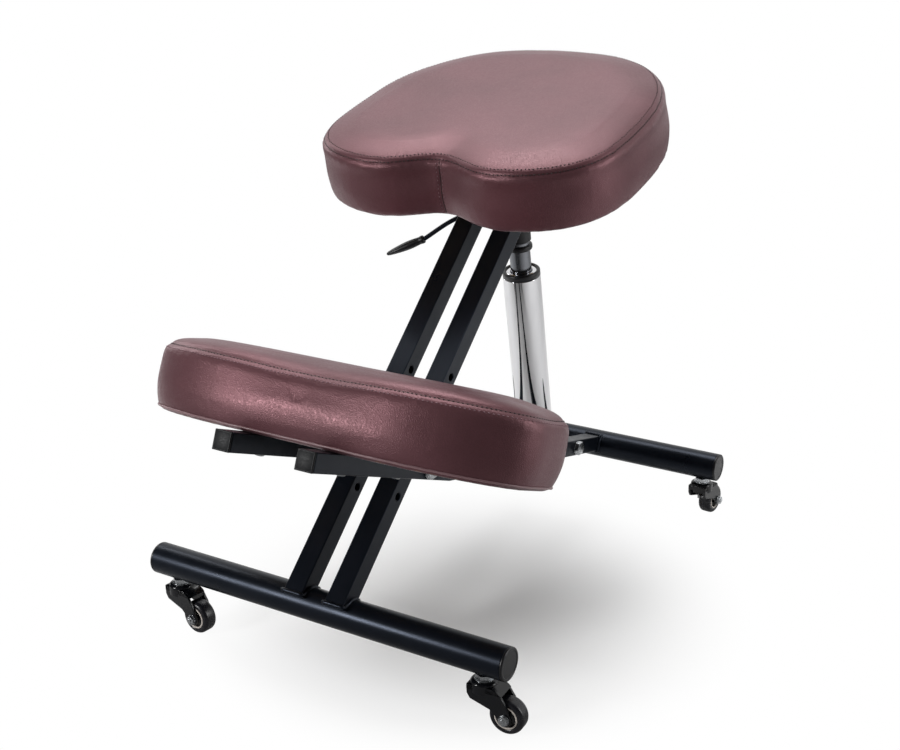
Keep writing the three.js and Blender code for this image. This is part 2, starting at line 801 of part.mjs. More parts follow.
// Piston rod with its lock nut, and the cylinder that slides over it
const pistonTop = pistonHeight + pistonThickness;
const cylinderBore = cylinderRadius - cylinderWall;
const rodNutBottom = plateTopHeight + weldGap;
const rodNut = hexagon(rodNutFlats, [0, 0, rodNutBottom], [0, 0, rodNutBottom + rodNutHeight]);
const pistonRod = turned([
  [0, footTubeRadius + weldGap],
  [pistonRodRadius, footTubeRadius + weldGap],
  [pistonRodRadius, pistonHeight],
  [cylinderBore - runGap, pistonHeight],
  [cylinderBore - runGap, pistonTop],
  [0, pistonTop],
], smallSteps);
addPiece(liftGroup, 'piston_rod', join([pistonRod, rodNut]), finishes.steel);

const cylinderTop = headBottom + headSeatDepth;
const cylinder = cut(
  ring(cylinderRadius, valvePinRadius + runGap, cylinderBottom, cylinderTop),
  [
    between(
      cylinderBore,
      [0, 0, cylinderBottom + cylinderEnd],
      [0, 0, cylinderTop - cylinderEnd],
      roundSteps,
    ),
    drill(
      pistonRodRadius + runGap,
      [0, 0, cylinderBottom - cylinderEnd],
      [0, 0, cylinderBottom + 2 * cylinderEnd],
    ),
  ],
);
addPiece(liftGroup, 'gas_cylinder', cylinder, finishes.chrome);

// Release button: a pin in the cylinder's end with a head that the lever presses
const buttonBottom = cylinderTop + weldGap + buttonTravel;
const buttonTop = buttonBottom + buttonHeight;
const button = turned([
  [0, cylinderTop - 2 * cylinderEnd],
  [valvePinRadius, cylinderTop - 2 * cylinderEnd],
  [valvePinRadius, buttonBottom],
  [buttonRadius, buttonBottom],
  [buttonRadius, buttonTop],
  [0, buttonTop],
], smallSteps);
addPiece(liftGroup, 'release_button', button, finishes.steel);

// Lift head: a collar and socket on the cylinder, a slot for the lever, and a tongue for the pin
const tongueBottom = buttonTop + weldGap;
const tongueTop = tongueBottom + leverTongueHeight;
const leverHeight = tongueBottom + leverTongueHeight / 2;
const headShoulder = liftLength - earRadius - earRoom;
const headTop = liftLength + headTongueRadius;
const headBody = join([
  turned([
    [0, headBottom],
    [headRadius + headCollarLip, headBottom],
    [headRadius + headCollarLip, headBottom + headCollar],
    [headRadius, headBottom + headCollar + headCollarLip],
    [headRadius, headShoulder],
    [0, headShoulder],
  ]),
  sidePlate([
    new THREE.Vector2(-headTongueRadius, headShoulder - headTongueRoot),
    new THREE.Vector2(headTongueRadius, headShoulder - headTongueRoot),
    new THREE.Vector2(headTongueRadius, headTop - headChamfer),
    new THREE.Vector2(headTongueRadius - headChamfer, headTop),
    new THREE.Vector2(headChamfer - headTongueRadius, headTop),
    new THREE.Vector2(-headTongueRadius, headTop - headChamfer),
  ], -headTongueWidth / 2 + runGap, headTongueWidth / 2 - runGap),
]);
const slotHalf = leverTongueWidth / 2 + runGap;
const leverPinEnds = headRadius - leverPinCover;
const head = cut(headBody, [
  drill(
    cylinderRadius + weldGap,
    [0, 0, headBottom - headCollar],
    [0, 0, cylinderTop + weldGap],
    roundSteps,
  ),
  drill(buttonRadius + buttonRoom, [0, 0, cylinderTop], [0, 0, tongueTop]),
  block(
    [4 * headRadius, 2 * slotHalf, leverTongueHeight + 2 * leverSlotMargin],
    [0, 0, leverHeight],
  ),
  drill(headPinRadius + headPinPlay, [-headRadius, 0, liftLength], [headRadius, 0, liftLength]),
  drill(
    leverPinRadius + runGap,
    [-leverPinOffset, -headRadius, leverHeight],
    [-leverPinOffset, headRadius, leverHeight],
  ),
]);
addPiece(liftGroup, 'lift_head', head, finishes.blackPlastic);

const leverPin = between(
  leverPinRadius,
  [-leverPinOffset, -leverPinEnds, leverHeight],
  [-leverPinOffset, leverPinEnds, leverHeight],
);
addPiece(liftGroup, 'lever_pin', leverPin, finishes.steel);

// Lever: a tongue in the slot, then a bent rod. Its points are set in the chair's own directions.
const leverPoint = ({ out, forward, drop }) => {
  const turn = new THREE.Vector2(-forward, -drop).rotateAround(new THREE.Vector2(), -radians(columnLean));
  return new THREE.Vector3(-out, turn.x, leverHeight + turn.y);
};
const rodEnd = new THREE.Vector3(-leverPinOffset - leverRodRoot, 0, leverHeight);
const rodBendEnd = leverPoint(leverCollar);
const paddleEnd = leverPoint(leverTip);
const paddleWay = paddleEnd.clone().sub(rodBendEnd).normalize();
const paddleStart = rodBendEnd.clone().addScaledVector(paddleWay, leverRodRadius);
const rodTip = paddleStart.clone().addScaledVector(paddleWay, rodInPaddle);
const rodPath = new THREE.CatmullRomCurve3([
  rodEnd,
  new THREE.Vector3(-leverOut, 0, leverHeight),
  leverPoint(leverBend),
  rodBendEnd,
]);
const rodSection = new THREE.Shape();
rodSection.absarc(0, 0, leverRodRadius, 0, 2 * Math.PI, false);
const rod = new THREE.ExtrudeGeometry(rodSection, {
  steps: rodSteps,
  curveSegments: rodSides,
  bevelEnabled: false,
  extrudePath: rodPath,
});
const tongueLength = leverPinOffset + leverTongueTail + leverTongueReach;
const tongue = block(
  [tongueLength, leverTongueWidth, leverTongueHeight],
  [leverTongueReach - tongueLength / 2, 0, leverHeight],
);
const leverBore = drill(
  leverPinRadius + runGap,
  [-leverPinOffset, -headRadius, leverHeight],
  [-leverPinOffset, headRadius, leverHeight],
);
const rodStraight = between(leverRodRadius, rodBendEnd.toArray(), rodTip.toArray());
const lever = cut(join([rod, tongue, rodStraight]), [leverBore]);
addPiece(liftGroup, 'lever_rod', lever, finishes.powderCoat);

// Paddle: a flattened grip that starts at a collar on the rod and thins towards its tip
const paddleLength = paddleStart.distanceTo(paddleEnd);
const paddle = new THREE.CylinderGeometry(1, 1, paddleLength, smallSteps, paddleSteps);
const paddlePlace = paddle.attributes.position;
for (let index = 0; index < paddlePlace.count; index += 1) {
  const share = Math.max(0.5 + paddlePlace.getY(index) / paddleLength, 0);
  const thickness = THREE.MathUtils.lerp(paddleThickness, paddleTipThickness, share ** paddleThinning);
  const width = paddleWidth * Math.sqrt(Math.max(1 - share ** paddleRounding, paddleBlunt));
  paddlePlace.setX(index, paddlePlace.getX(index) * width / 2);
  paddlePlace.setZ(index, paddlePlace.getZ(index) * thickness / 2);
}
paddle.translate(0, paddleLength / 2, 0);
const paddleBore = drill(
  leverRodRadius + weldGap,
  [0, -rodInPaddle, 0],
  [0, rodInPaddle + weldGap, 0],
  smallSteps,
);
const paddlePiece = addPiece(liftGroup, 'lever_paddle', cut(paddle, [paddleBore]), finishes.blackPlastic);
paddlePiece.position.copy(paddleStart);
paddlePiece.quaternion.setFromUnitVectors(new THREE.Vector3(0, 1, 0), paddleWay);

// The pin through the ears and the head, with a clip on it outside each ear
const clipInnerX = seatBarX - barSide / 2;
const clipOuterX = clipInnerX + pinClipThickness;
const pinPart = (radius, fromX, toX) => between(
  radius,
  [fromX, headPivot.x, headPivot.y],
  [toX, headPivot.x, headPivot.y],
);
const headPin = join([
  pinPart(headPinRadius, -clipOuterX - pinEnd, clipOuterX + pinEnd),
  pinPart(pinClipRadius, -clipOuterX, -clipInnerX),
  pinPart(pinClipRadius, clipInnerX, clipOuterX),
]);
addPiece(chair, 'lift_pin', headPin, finishes.steel);

// Casters: a stem fixed in the crossbar, a fork that swivels on it, and a wheel on its axle
const forkOutline = () => {
  const outline = new THREE.Shape();
  const bossWay = Math.asin(forkBossStart);
  outline.moveTo(-forkHeadRadius, forkTop - forkShoulder);
  outline.lineTo(-forkHeadRadius, forkTop - forkRoof - forkSkirt);
  outline.absarc(casterTrail, wheelRadius, forkBossRadius, Math.PI + bossWay, 2 * Math.PI + bossWay, false);
  outline.lineTo(casterTrail - forkShoulder, forkTop - forkRoof);
  outline.lineTo(forkHeadRadius, forkTop - forkShoulder);
  return outline;
};

const wheelTurned = (profile) => turned(profile, wheelSteps).rotateX(Math.PI / 2);

const makeCaster = (place, crossbar, frameX, swivel) => {
  const frameY = crossbar.x;
  const undersideZ = crossbar.y - crossbarRadius;
  const fixed = new THREE.Group();
  fixed.position.set(frameX, frameY, 0);
  chair.add(fixed);
  const nutTop = undersideZ - weldGap;
  const nutBottom = nutTop - stemNutHeight;
  const roofBottom = forkTop - forkRoof;
  const kingpinHeadTop = roofBottom - weldGap;
  const insertBottom = undersideZ + crossbarWall + weldGap;
  const stem = join([
    between(stemRadius, [0, 0, nutTop - bite], [0, 0, undersideZ + stemReach]),
    hexagon(stemNutFlats, [0, 0, nutBottom], [0, 0, nutTop]),
    between(kingpinRadius, [0, 0, kingpinHeadTop - bite], [0, 0, nutBottom + bite]),
    between(kingpinHeadRadius, [0, 0, kingpinHeadTop - kingpinHeadHeight], [0, 0, kingpinHeadTop]),
  ]);
  const insert = common(
    between(
      stemInsertRadius,
      [0, 0, insertBottom - stemReach],
      [0, 0, insertBottom + stemInsertHeight],
    ),
    between(
      crossbarRadius - crossbarWall - weldGap,
      [-stemInsertRadius * 2, 0, crossbar.y],
      [stemInsertRadius * 2, 0, crossbar.y],
      roundSteps,
    ),
  );
  addPiece(fixed, `caster_stem_${place}`, join([stem, insert]), finishes.steel);

  const swivelGroup = new THREE.Group();
  swivelGroup.position.set(frameX, frameY, 0);
  swivelGroup.rotation.z = radians(swivel);
  chair.add(swivelGroup);
  const cheeks = sidePlate(forkOutline(), -forkWidth / 2, forkWidth / 2).rotateZ(-Math.PI / 2);
  const slotWidth = wheelWidth + 2 * wheelSideGap;
  const fork = cut(
    join([
      cheeks,
      between(forkHeadRadius, [0, 0, roofBottom - forkSkirt], [0, 0, forkTop], wheelSteps),
    ]),
    [
      block([casterTrail * 4, slotWidth, roofBottom * 2], [0, 0, 0]),
      drill(kingpinRadius + runGap, [0, 0, roofBottom - forkRoof], [0, 0, forkTop + forkRoof]),
      drill(
        axleRadius + runGap,
        [casterTrail, -forkWidth, wheelRadius],
        [casterTrail, forkWidth, wheelRadius],
      ),
    ],
  );
  addPiece(swivelGroup, `caster_fork_${place}`, fork, finishes.blackPlastic);

  const face = forkWidth / 2 + weldGap;
  const nutEnd = face + axleHeadHeight;
  const axleAt = (radius, from, to, hex = false) => (hex ? hexagon : between)(
    radius,
    [casterTrail, from, wheelRadius],
    [casterTrail, to, wheelRadius],
  );
  const axle = join([
    axleAt(axleRadius, -nutEnd - axleEnd, face + axleHeadHeight / 2),
    axleAt(axleHeadFlats, face, face + axleHeadHeight, true),
    axleAt(axleHeadFlats, -face, -nutEnd, true),
  ]);
  addPiece(swivelGroup, `caster_axle_${place}`, axle, finishes.steel);

  const wheelGroup = new THREE.Group();
  wheelGroup.position.set(casterTrail, 0, wheelRadius);
  swivelGroup.add(wheelGroup);
  const half = wheelWidth / 2;
  const boreRadius = axleRadius + runGap;
  const ringInner = hubRadius - hubRingWidth;
  const hub = wheelTurned([
    [boreRadius, -half],
    [ringInner, hubRecess - half],
    [ringInner, -half],
    [hubRadius, -half],
    [hubRadius, half],
    [ringInner, half],
    [ringInner, half - hubRecess],
    [boreRadius, half],
  ]);
  addPiece(wheelGroup, `caster_hub_${place}`, hub, finishes.hub);
  const tyreBore = hubRadius + weldGap;
  const tyre = wheelTurned([
    [tyreBore, -half],
    [wheelRadius - tyreEdge, -half],
    [wheelRadius, tyreEdge - half],
    [wheelRadius, half - tyreEdge],
    [wheelRadius - tyreEdge, half],
    [tyreBore, half],
  ]);
  addPiece(wheelGroup, `caster_tyre_${place}`, tyre, finishes.tyre);
};

for (const [end, axle] of Object.entries({ front: frontAxle, rear: rearAxle })) {
  for (const [sideName, side] of Object.entries(sides)) {
    const place = `${end}_${sideName}`;
    makeCaster(place, axle, side * casterX[end], casterSwivels[place]);
  }
}

// The origin is the middle of the chair's box, on the floor
chair.updateMatrixWorld(true);
const bounds = new THREE.Box3().setFromObject(chair, true);
const middle = bounds.getCenter(new THREE.Vector3());
const part = new THREE.Group();
part.add(chair);
chair.position.set(-middle.x, -middle.y, -bounds.min.z);
part.updateMatrixWorld(true);

export default part;
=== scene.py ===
"""A kneeling chair: upholstery, steel frames, gas lift and casters, built round the packed frame."""

import json
import math
from functools import cache

import bmesh
import bpy
import numpy as np
from bpy.props import FloatProperty, FloatVectorProperty, IntProperty, PointerProperty
from mathutils import Matrix, Vector, noise
from mathutils.bvhtree import BVHTree
from mathutils.kdtree import KDTree


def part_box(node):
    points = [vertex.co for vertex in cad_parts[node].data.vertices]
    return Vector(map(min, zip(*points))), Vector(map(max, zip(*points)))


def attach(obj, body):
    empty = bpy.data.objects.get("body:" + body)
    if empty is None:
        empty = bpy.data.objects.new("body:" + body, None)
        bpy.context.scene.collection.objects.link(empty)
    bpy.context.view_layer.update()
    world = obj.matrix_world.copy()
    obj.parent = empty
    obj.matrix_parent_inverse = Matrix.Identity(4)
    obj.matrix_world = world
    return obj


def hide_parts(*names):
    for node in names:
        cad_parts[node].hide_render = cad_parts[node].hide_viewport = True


bl_info = {
    "name": "Kneeling Chair",
    "version": (1, 0, 0),
    "blender": (4, 5, 0),
    "location": "View3D > Sidebar > Chair",
    "description": "Builds a kneeling chair with upholstered seat and knee pad, gas lift and casters",
    "category": "Add Mesh",
}

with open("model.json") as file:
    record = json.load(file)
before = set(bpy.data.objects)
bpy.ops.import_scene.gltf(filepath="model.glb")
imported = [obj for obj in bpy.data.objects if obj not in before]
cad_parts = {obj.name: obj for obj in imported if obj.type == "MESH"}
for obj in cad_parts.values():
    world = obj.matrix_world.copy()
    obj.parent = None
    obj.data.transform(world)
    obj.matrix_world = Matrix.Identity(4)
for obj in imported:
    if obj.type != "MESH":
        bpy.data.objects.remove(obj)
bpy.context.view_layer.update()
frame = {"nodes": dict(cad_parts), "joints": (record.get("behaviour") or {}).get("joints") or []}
joints = {joint["name"]: joint for joint in frame["joints"]}

MM = 0.001
SIDES = {"left": -1, "right": 1}
ENDS = {"front": "front_frame", "rear": "rear_frame"}
X_WAY = Vector((1, 0, 0))
UP = Vector((0, 0, 1))
QUARTER = math.pi / 2


def linear(hex_colour):
    """The linear colour of an sRGB hex value, with full alpha."""
    parts = [int(hex_colour[i : i + 2], 16) / 255 for i in (1, 3, 5)]
    return (*[p / 12.92 if p <= 0.04045 else ((p + 0.055) / 1.055) ** 2.4 for p in parts], 1.0)


# Places that the frame gives


def placed(origin, x, y, z):
    """The place at an origin whose axes run along three ways."""
    return Matrix.Translation(origin) @ Matrix((x, y, z)).transposed().to_4x4()


def aim(start, way, side=X_WAY):
    """A place whose Z runs along a way, and whose X lies as near to its side as it can."""
    z = Vector(way).normalized()
    side = Vector(side)
    x = (side - z * side.dot(z)).normalized() if abs(z.dot(side)) < 0.99 else z.orthogonal().normalized()
    return placed(start, x, z.cross(x), z)


def joint_place(name):
    return Vector(joints[name]["pos_m"])


def crossbar_axle(end):
    """The middle of a crossbar's axis."""
    low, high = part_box(f"{end}_crossbar")
    return (low + high) / 2


def crossbar_radius(end):
    low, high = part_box(f"{end}_crossbar")
    return (high.z - low.z) / 2


main_pivot = joint_place("frame_fold")
foot_pivot = joint_place("column_tilt")
lift_way = Vector(joints["gas_lift"]["axis"]).normalized()
lift_place = placed(foot_pivot, X_WAY, lift_way.cross(X_WAY), lift_way)


# Sizes and colours that a user may change


def length(name, description, default):
    return FloatProperty(name=name, description=description, default=default * MM, unit="LENGTH", precision=4)


def angle(name, description, default):
    return FloatProperty(name=name, description=description, default=math.radians(default), subtype="ANGLE")


def plain(name, description, default):
    return FloatProperty(name=name, description=description, default=default)


def colour(name, description, hex_colour):
    return FloatVectorProperty(
        name=name, description=description, size=4, subtype="COLOR", default=linear(hex_colour), min=0, max=1
    )


class ChairFrameSizes(bpy.types.PropertyGroup):
    """Sizes of the two steel frames"""

    seat_bar_lean: angle("Seat Bar Lean", "Lean of the seat bars above the floor", 42.5)
    knee_bar_tilt: angle("Knee Bar Tilt", "Rise of the knee bars to the front", 22.3)
    knee_bend_run: length("Knee Bend", "From the main pivot back to the bend in the knee bars", 53)
    knee_bar_reach: length("Knee Bar Reach", "From the bend to the front end of the knee bars", 281)
    rear_end_rise: length("Rear End Rise", "Height at which the knee bars meet the rear crossbar's axis", 1.5)
    bar_corner: length("Bar Corner", "Corner radius of the square bars", 1.5)
    hole_pitch: length("Hole Pitch", "Pitch of the height holes", 40)
    hole_radius: length("Hole Radius", "Radius of the height holes", 4.5)
    weld_radius: length("Weld Radius", "Half width of the weld beads", 2.4)
    crossbar_cap: length("Cap", "Thickness of the crossbar caps", 3)
    knee_screw_pitch: length("Knee Screw Pitch", "Distance between the knee board's screws", 110)
    knee_pad_middle: length("Knee Pad Middle", "From the bend to the middle of the knee pad", 161)


class ChairFastenerSizes(bpy.types.PropertyGroup):
    """Sizes of the bolts and nuts"""

    bolt_radius: length("Bolt Radius", "Radius of the main bolts", 5)
    bolt_flats: length("Bolt Flats", "Width across the flats of the main bolts", 17)
    head_height: length("Head Height", "Height of a bolt head", 6.4)
    nut_height: length("Nut Height", "Height of a nut", 8)
    washer_radius: length("Washer Radius", "Radius of the pivot washers", 10)
    screw_radius: length("Screw Radius", "Radius of a pan head screw", 6)
    screw_height: length("Screw Height", "Height of a pan head screw", 2.6)


class ChairLiftSizes(bpy.types.PropertyGroup):
    """Sizes of the gas lift, with heights along its axis from the foot bolt"""

    column_radius: length("Column Radius", "Radius of the chrome column", 25)
    column_bottom: length("Column Bottom", "Height of the column's lower end", 17.3)
    column_top: length("Column Top", "Height of the column's upper end", 255)
    bush_rim: length("Bush Rim", "Height of the guide bush above the column", 8.3)
    ring_radius: length("Ring Radius", "Radius of the cover ring", 21)
    cylinder_radius: length("Cylinder Radius", "Radius of the gas cylinder", 14)
    cylinder_bottom: length("Cylinder Bottom", "Height of the cylinder's lower end", 66)
    head_bottom: length("Head Bottom", "Height of the lift head's lower edge", 293)
    head_radius: length("Head Radius", "Radius of the lift head", 16.5)
    head_collar: length("Head Collar", "Height of the head's collar", 7)
    head_shoulder: length("Head Shoulder", "Height of the head's shoulder", 357)
    pin_height: length("Pin Height", "Height of the head pin", 370)
    tongue_radius: length("Tongue Radius", "Half width of the head's tongue", 12)
    lever_height: length("Lever Height", "Height of the lever's pin", 347.2)


class ChairLeverSizes(bpy.types.PropertyGroup):
    """Route of the lever from its root in the head, in the chair's own directions"""

    rod_radius: length("Rod Radius", "Radius of the lever's rod", 3)
    root_out: length("Root", "Where the rod starts", 13)
    straight_out: length("Straight", "End of the straight stretch", 40)
    bend_out: length("Bend Out", "Sideways place of the bend", 80)
    bend_forward: length("Bend Forward", "Forward place of the bend", 23)
    bend_drop: length("Bend Drop", "Drop of the bend", 17)
    collar_out: length("Collar Out", "Sideways place of the paddle's collar", 115)
    collar_forward: length("Collar Forward", "Forward place of the paddle's collar", 41)
    collar_drop: length("Collar Drop", "Drop of the paddle's collar", 43)
    tip_out: length("Tip Out", "Sideways place of the tip", 165)
    tip_forward: length("Tip Forward", "Forward place of the tip", 58)
    tip_drop: length("Tip Drop", "Drop of the tip", 67)
    paddle_width: length("Paddle Width", "Width of the paddle", 13)
    paddle_thickness: length("Paddle Thickness", "Thickness of the paddle", 12)


class ChairCasterSizes(bpy.types.PropertyGroup):
    """Sizes of the casters"""

    wheel_radius: length("Wheel Radius", "Radius of a wheel", 20)
    wheel_width: length("Wheel Width", "Width of a wheel", 18)
    trail: length("Trail", "From the stem back to the axle", 29)
    fork_top: length("Fork Top", "Height of the top of the fork", 55.5)
    fork_roof: length("Fork Roof", "Thickness of the fork over the wheel", 10)
    fork_width: length("Fork Width", "Width over both cheeks", 26)
    head_radius: length("Head Radius", "Radius of the swivel head", 15)
    boss_radius: length("Boss Radius", "Radius of the boss round the axle", 8)
    hub_radius: length("Hub Radius", "Radius of the hub", 13.3)
    ring_width: length("Ring Width", "Width of the pale ring on the hub", 1.8)
    nut_flats: length("Nut Flats", "Width across the flats of the axle nut", 10)
    nut_height: length("Nut Height", "Height of the axle nut", 4)
    stem_flats: length("Stem Flats", "Width across the flats of the stem's nut", 17)


class ChairSeatSizes(bpy.types.PropertyGroup):
    """Form of the seat, measured in its own plane"""

    half_width: length("Half Width", "Half of the seat's width", 208)
    back: length("Back Reach", "From the middle to the back", 229)
    front: length("Front Reach", "From the middle to the front", 158)
    back_round: plain("Back Roundness", "Power of the outline's back half", 2.4)
    front_round: plain("Front Roundness", "Power of the outline's front half", 3)
    notch_depth: length("Notch Depth", "Depth of the front notch", 30)
    notch_width: length("Notch Width", "Half width of the front notch", 50)
    seam_height: length("Seam Height", "Height of the seam round the top", 74)
    crown: length("Crown", "Rise of the top above the seam", 9)
    bottom_inset: length("Bottom Inset", "How far the sides draw in at the bottom", 7)
    shoulder: length("Shoulder", "How far the seam lies in from the outline", 5)
    stitch_offset: length("Stitch Offset", "From the seam to the row of stitches, up positive", -7.5)


class ChairKneeSizes(bpy.types.PropertyGroup):
    """Form of the knee pad, measured in its own plane"""

    half_width: length("Half Width", "Half of the pad's width", 250)
    back: length("Back Reach", "From the middle to the back", 106)
    front: length("Front Reach", "From the middle to the front", 106)
    back_round: plain("Back Roundness", "Power of the outline's back half", 4)
    front_round: plain("Front Roundness", "Power of the outline's front half", 2.4)
    notch_depth: length("Notch Depth", "Depth of the front notch", 8)
    notch_width: length("Notch Width", "Half width of the front notch", 90)
    seam_height: length("Seam Height", "Height of the seam round the top", 76)
    crown: length("Crown", "Rise of the top above the seam", 13)
    bottom_inset: length("Bottom Inset", "How far the sides draw in at the bottom", 12)
    shoulder: length("Shoulder", "How far the seam lies in from the outline", 9)
    stitch_offset: length("Stitch Offset", "From the seam to the row of stitches, up positive", 6)


class ChairSewingSizes(bpy.types.PropertyGroup):
    """Sizes of the foam, the seams and the stitches of both cushions"""

    grid: length("Grid", "Size of the even grid of the padded form", 5)
    swell: length("Swell", "The furthest that the padding pushes a point", 5.5)
    pressure: plain("Pressure", "Pressure of the padding in the simulation", 4)
    steps: IntProperty(name="Steps", description="Frames of the simulation", default=20)
    tightness: IntProperty(name="Tightness", description="Rounds that even out the wrinkles", default=45)
    swell_room: length("Swell Room", "How far the sides are drawn in, for the padding to swell out again", 3)
    ease: length("Ease", "Depth over which the sides are eased back inside the outline", 2.5)
    hem: length("Hem", "Width of the cover turned under the board", 22)
    board_inset: length("Board Inset", "From the cover's lower edge in to the board", 5)
    board: length("Board", "Thickness of the plywood boards", 12)
    cover: length("Cover", "Thickness of the cover", 1.2)
    board_room: length("Board Room", "Depth of the hollow that shows the board", 14)
    groove: length("Groove", "Depth of the seam's groove", 0.9)
    groove_width: length("Groove Width", "Half width of the seam's groove", 2.8)
    stitch_pitch: length("Stitch Pitch", "Distance from stitch to stitch", 4.8)
    stitch_length: length("Stitch Length", "Length of a stitch", 2.4)
    thread_radius: length("Thread Radius", "Radius of the thread", 0.55)
    # The dark rod down in the seat's front seam is painted shade in the seam's gap, not a thread.
    seam_shade_rod_radius: length("Crease Radius", "Radius of the dark thread down in the seam", 0.45)
    piping_radius: length("Piping Radius", "Radius of the piping", 1.3)


class ChairColours(bpy.types.PropertyGroup):
    """Colours of the chair's finishes"""

    leather: colour("Leatherette", "Plum brown of the upholstery", "#724A50")
    # Along the seams this deeper tone is painted shade in their grooves. In the grain it is the cover's own
    # tone.
    leather_deep: colour("Leatherette Deep", "Darker tone in the grain and along the seams", "#4E3033")
    # The thread is plum like the cover. It is drawn lighter, which paints the highlights on it.
    thread: colour("Thread", "Sewing thread on the open band", "#9C7880")
    # Colour of the dark stitches, and also of the painted shade rod in the seat's front seam.
    thread_dark_and_seam_shade: colour("Dark Thread", "Thread sunk in the seam", "#2C1A1E")
    piping: colour("Piping", "Piping at the knee pad's lower edge", "#8A6A6E")
    powder: colour("Powder Coat", "Bluish black of the frames", "#0B0E14")
    plastic: colour("Black Plastic", "Moulded black plastic", "#0D0E12")
    plug: colour("Plug Plastic", "Plugs of the knee bars", "#07090D")
    chrome: colour("Chrome", "Chrome plate", "#E8E8EA")
    steel: colour("Ground Steel", "Gas cylinder", "#828489")
    zinc: colour("Zinc", "Zinc plated bolts and nuts", "#C3C6C9")
    tyre: colour("Tyre", "Wheel treads", "#16161C")
    ring: colour("Wheel Ring", "Pale ring on the wheels", "#CFC7BF")
    plywood: colour("Plywood", "Boards under the cushions", "#B08C5E")
    floor: colour("Floor", "Studio floor", "#FCFCFC")


# Small tools for nodes


def add_node(tree, kind, inputs=None, **settings):
    """Adds a node with its settings. An input is a value for a socket, or the socket that feeds it."""
    node = tree.nodes.new(kind)
    for name, value in settings.items():
        setattr(node, name, value)
    for socket, value in (inputs or {}).items():
        if isinstance(value, bpy.types.NodeSocket):
            tree.links.new(value, node.inputs[socket])
        else:
            node.inputs[socket].default_value = value
    return node


def empty_tree(owner):
    """The cleared node tree of a material or a world."""
    owner.use_nodes = True
    owner.node_tree.nodes.clear()
    return owner.node_tree


def start_material(name):
    """An empty node material with its shader and the object coordinates."""
    material = bpy.data.materials.new(name)
    tree = empty_tree(material)
    shader = add_node(tree, "ShaderNodeBsdfPrincipled")
    add_node(tree, "ShaderNodeOutputMaterial", {"Surface": shader.outputs["BSDF"]})
    place = add_node(tree, "ShaderNodeTexCoord").outputs["Object"]
    return material, tree, shader, place


def once(make):
    """Makes a material the first time it is asked for, and then gives the same one."""

    @cache
    def get():
        return make(bpy.context.scene.chair_colours)

    return get


def shade_of(rgba, factor):
    return (*[min(part * factor, 1.0) for part in rgba[:3]], 1.0)


# Small tools for meshes


def new_object(name, bm):
    mesh = bpy.data.meshes.new(name)
    bm.to_mesh(mesh)
    bm.free()
    made = bpy.data.objects.new(name, mesh)
    bpy.context.scene.collection.objects.link(made)
    return made


def smooth_with(made, material):
    """Shades an object smooth in one material."""
    made.data.polygons.foreach_set("use_smooth", [True] * len(made.data.polygons))
    made.data.materials.clear()
    made.data.materials.append(material)


def piece(name, bm, finish, body, replaces=(), edge=0.0, segments=2, smooth=0):
    """A finished piece of the chair: its mesh, rounded edges, finish, and the body it rides on."""
    material, slot = finish
    made = new_object(name, bm)
    smooth_with(made, material())
    if edge:
        rounding = made.modifiers.new("edge", "BEVEL")
        rounding.width = edge
        rounding.segments = segments
        rounding.limit_method = "ANGLE"
        rounding.angle_limit = math.radians(32)
        rounding.harden_normals = True
    if smooth:
        finer = made.modifiers.new("smooth", "SUBSURF")
        finer.levels = smooth
        finer.render_levels = smooth
    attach(made, body)
    if replaces:
        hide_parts(*replaces)


def turned(profile, place, steps=64, closed=False):
    """A solid turned round Z from (radius, height) points. A closed profile makes a ring."""
    bm = bmesh.new()
    verts = [bm.verts.new((radius, 0, height)) for radius, height in profile]
    pairs = list(zip(verts, verts[1:]))
    if closed:
        pairs.append((verts[-1], verts[0]))
    edges = [bm.edges.new(pair) for pair in pairs]
    bmesh.ops.spin(
        bm,
        geom=verts + edges,
        cent=(0, 0, 0),
        axis=(0, 0, 1),
        angle=math.tau,
        steps=steps,
        use_merge=True,
        use_duplicate=False,
    )
    bmesh.ops.remove_doubles(bm, verts=bm.verts, dist=1e-7)
    bmesh.ops.recalc_face_normals(bm, faces=bm.faces)
    bm.transform(place)
    return bm


def band(inner, outer, low, high):
    """Profile of a plain ring between two heights, or of a disc when its inner radius is 0."""
    return [(inner, low), (outer, low), (outer, high), (inner, high)]


def arc(centre, radius, start, end, steps):
    """Points of an arc, by angles in degrees."""
    turns = [math.radians(start + (end - start) * step / steps) for step in range(steps + 1)]
    return [(centre[0] + radius * math.cos(turn), centre[1] + radius * math.sin(turn)) for turn in turns]


def add_box(bm, size, place):
    """Adds a box with its middle at a place."""
    bmesh.ops.create_cube(bm, size=1, matrix=place @ Matrix.Diagonal((*size, 1)))


def upper_faces(bm):
    return [face for face in bm.faces if face.normal.z > 0.9]


def raised(bm, faces, inset, height, even=False):
    """Insets a flat face, as a list of one, and moves it up."""
    bmesh.ops.inset_region(bm, faces=faces, thickness=inset, use_even_offset=even)
    bmesh.ops.translate(bm, verts=list(faces[0].verts), vec=(0, 0, height))


def hexagon(flats, bottom, top, place, chamfer=0.6 * MM):
    """A hexagonal head or nut with its upper corners chamfered."""
    bm = bmesh.new()
    radius = flats / math.sqrt(3)
    middle = Matrix.Translation((0, 0, (top + bottom) / 2))
    bmesh.ops.create_cone(
        bm, cap_ends=True, segments=6, radius1=radius, radius2=radius, depth=top - bottom, matrix=middle
    )
    raised(bm, upper_faces(bm), chamfer * 1.6, chamfer * 0.6, even=True)
    bm.transform(place)
    return bm


def merged(*meshes):
    """Several meshes as one."""
    whole = meshes[0]
    for part in meshes[1:]:
        spare = bpy.data.meshes.new("spare")
        part.to_mesh(spare)
        part.free()
        whole.from_mesh(spare)
        bpy.data.meshes.remove(spare)
    return whole


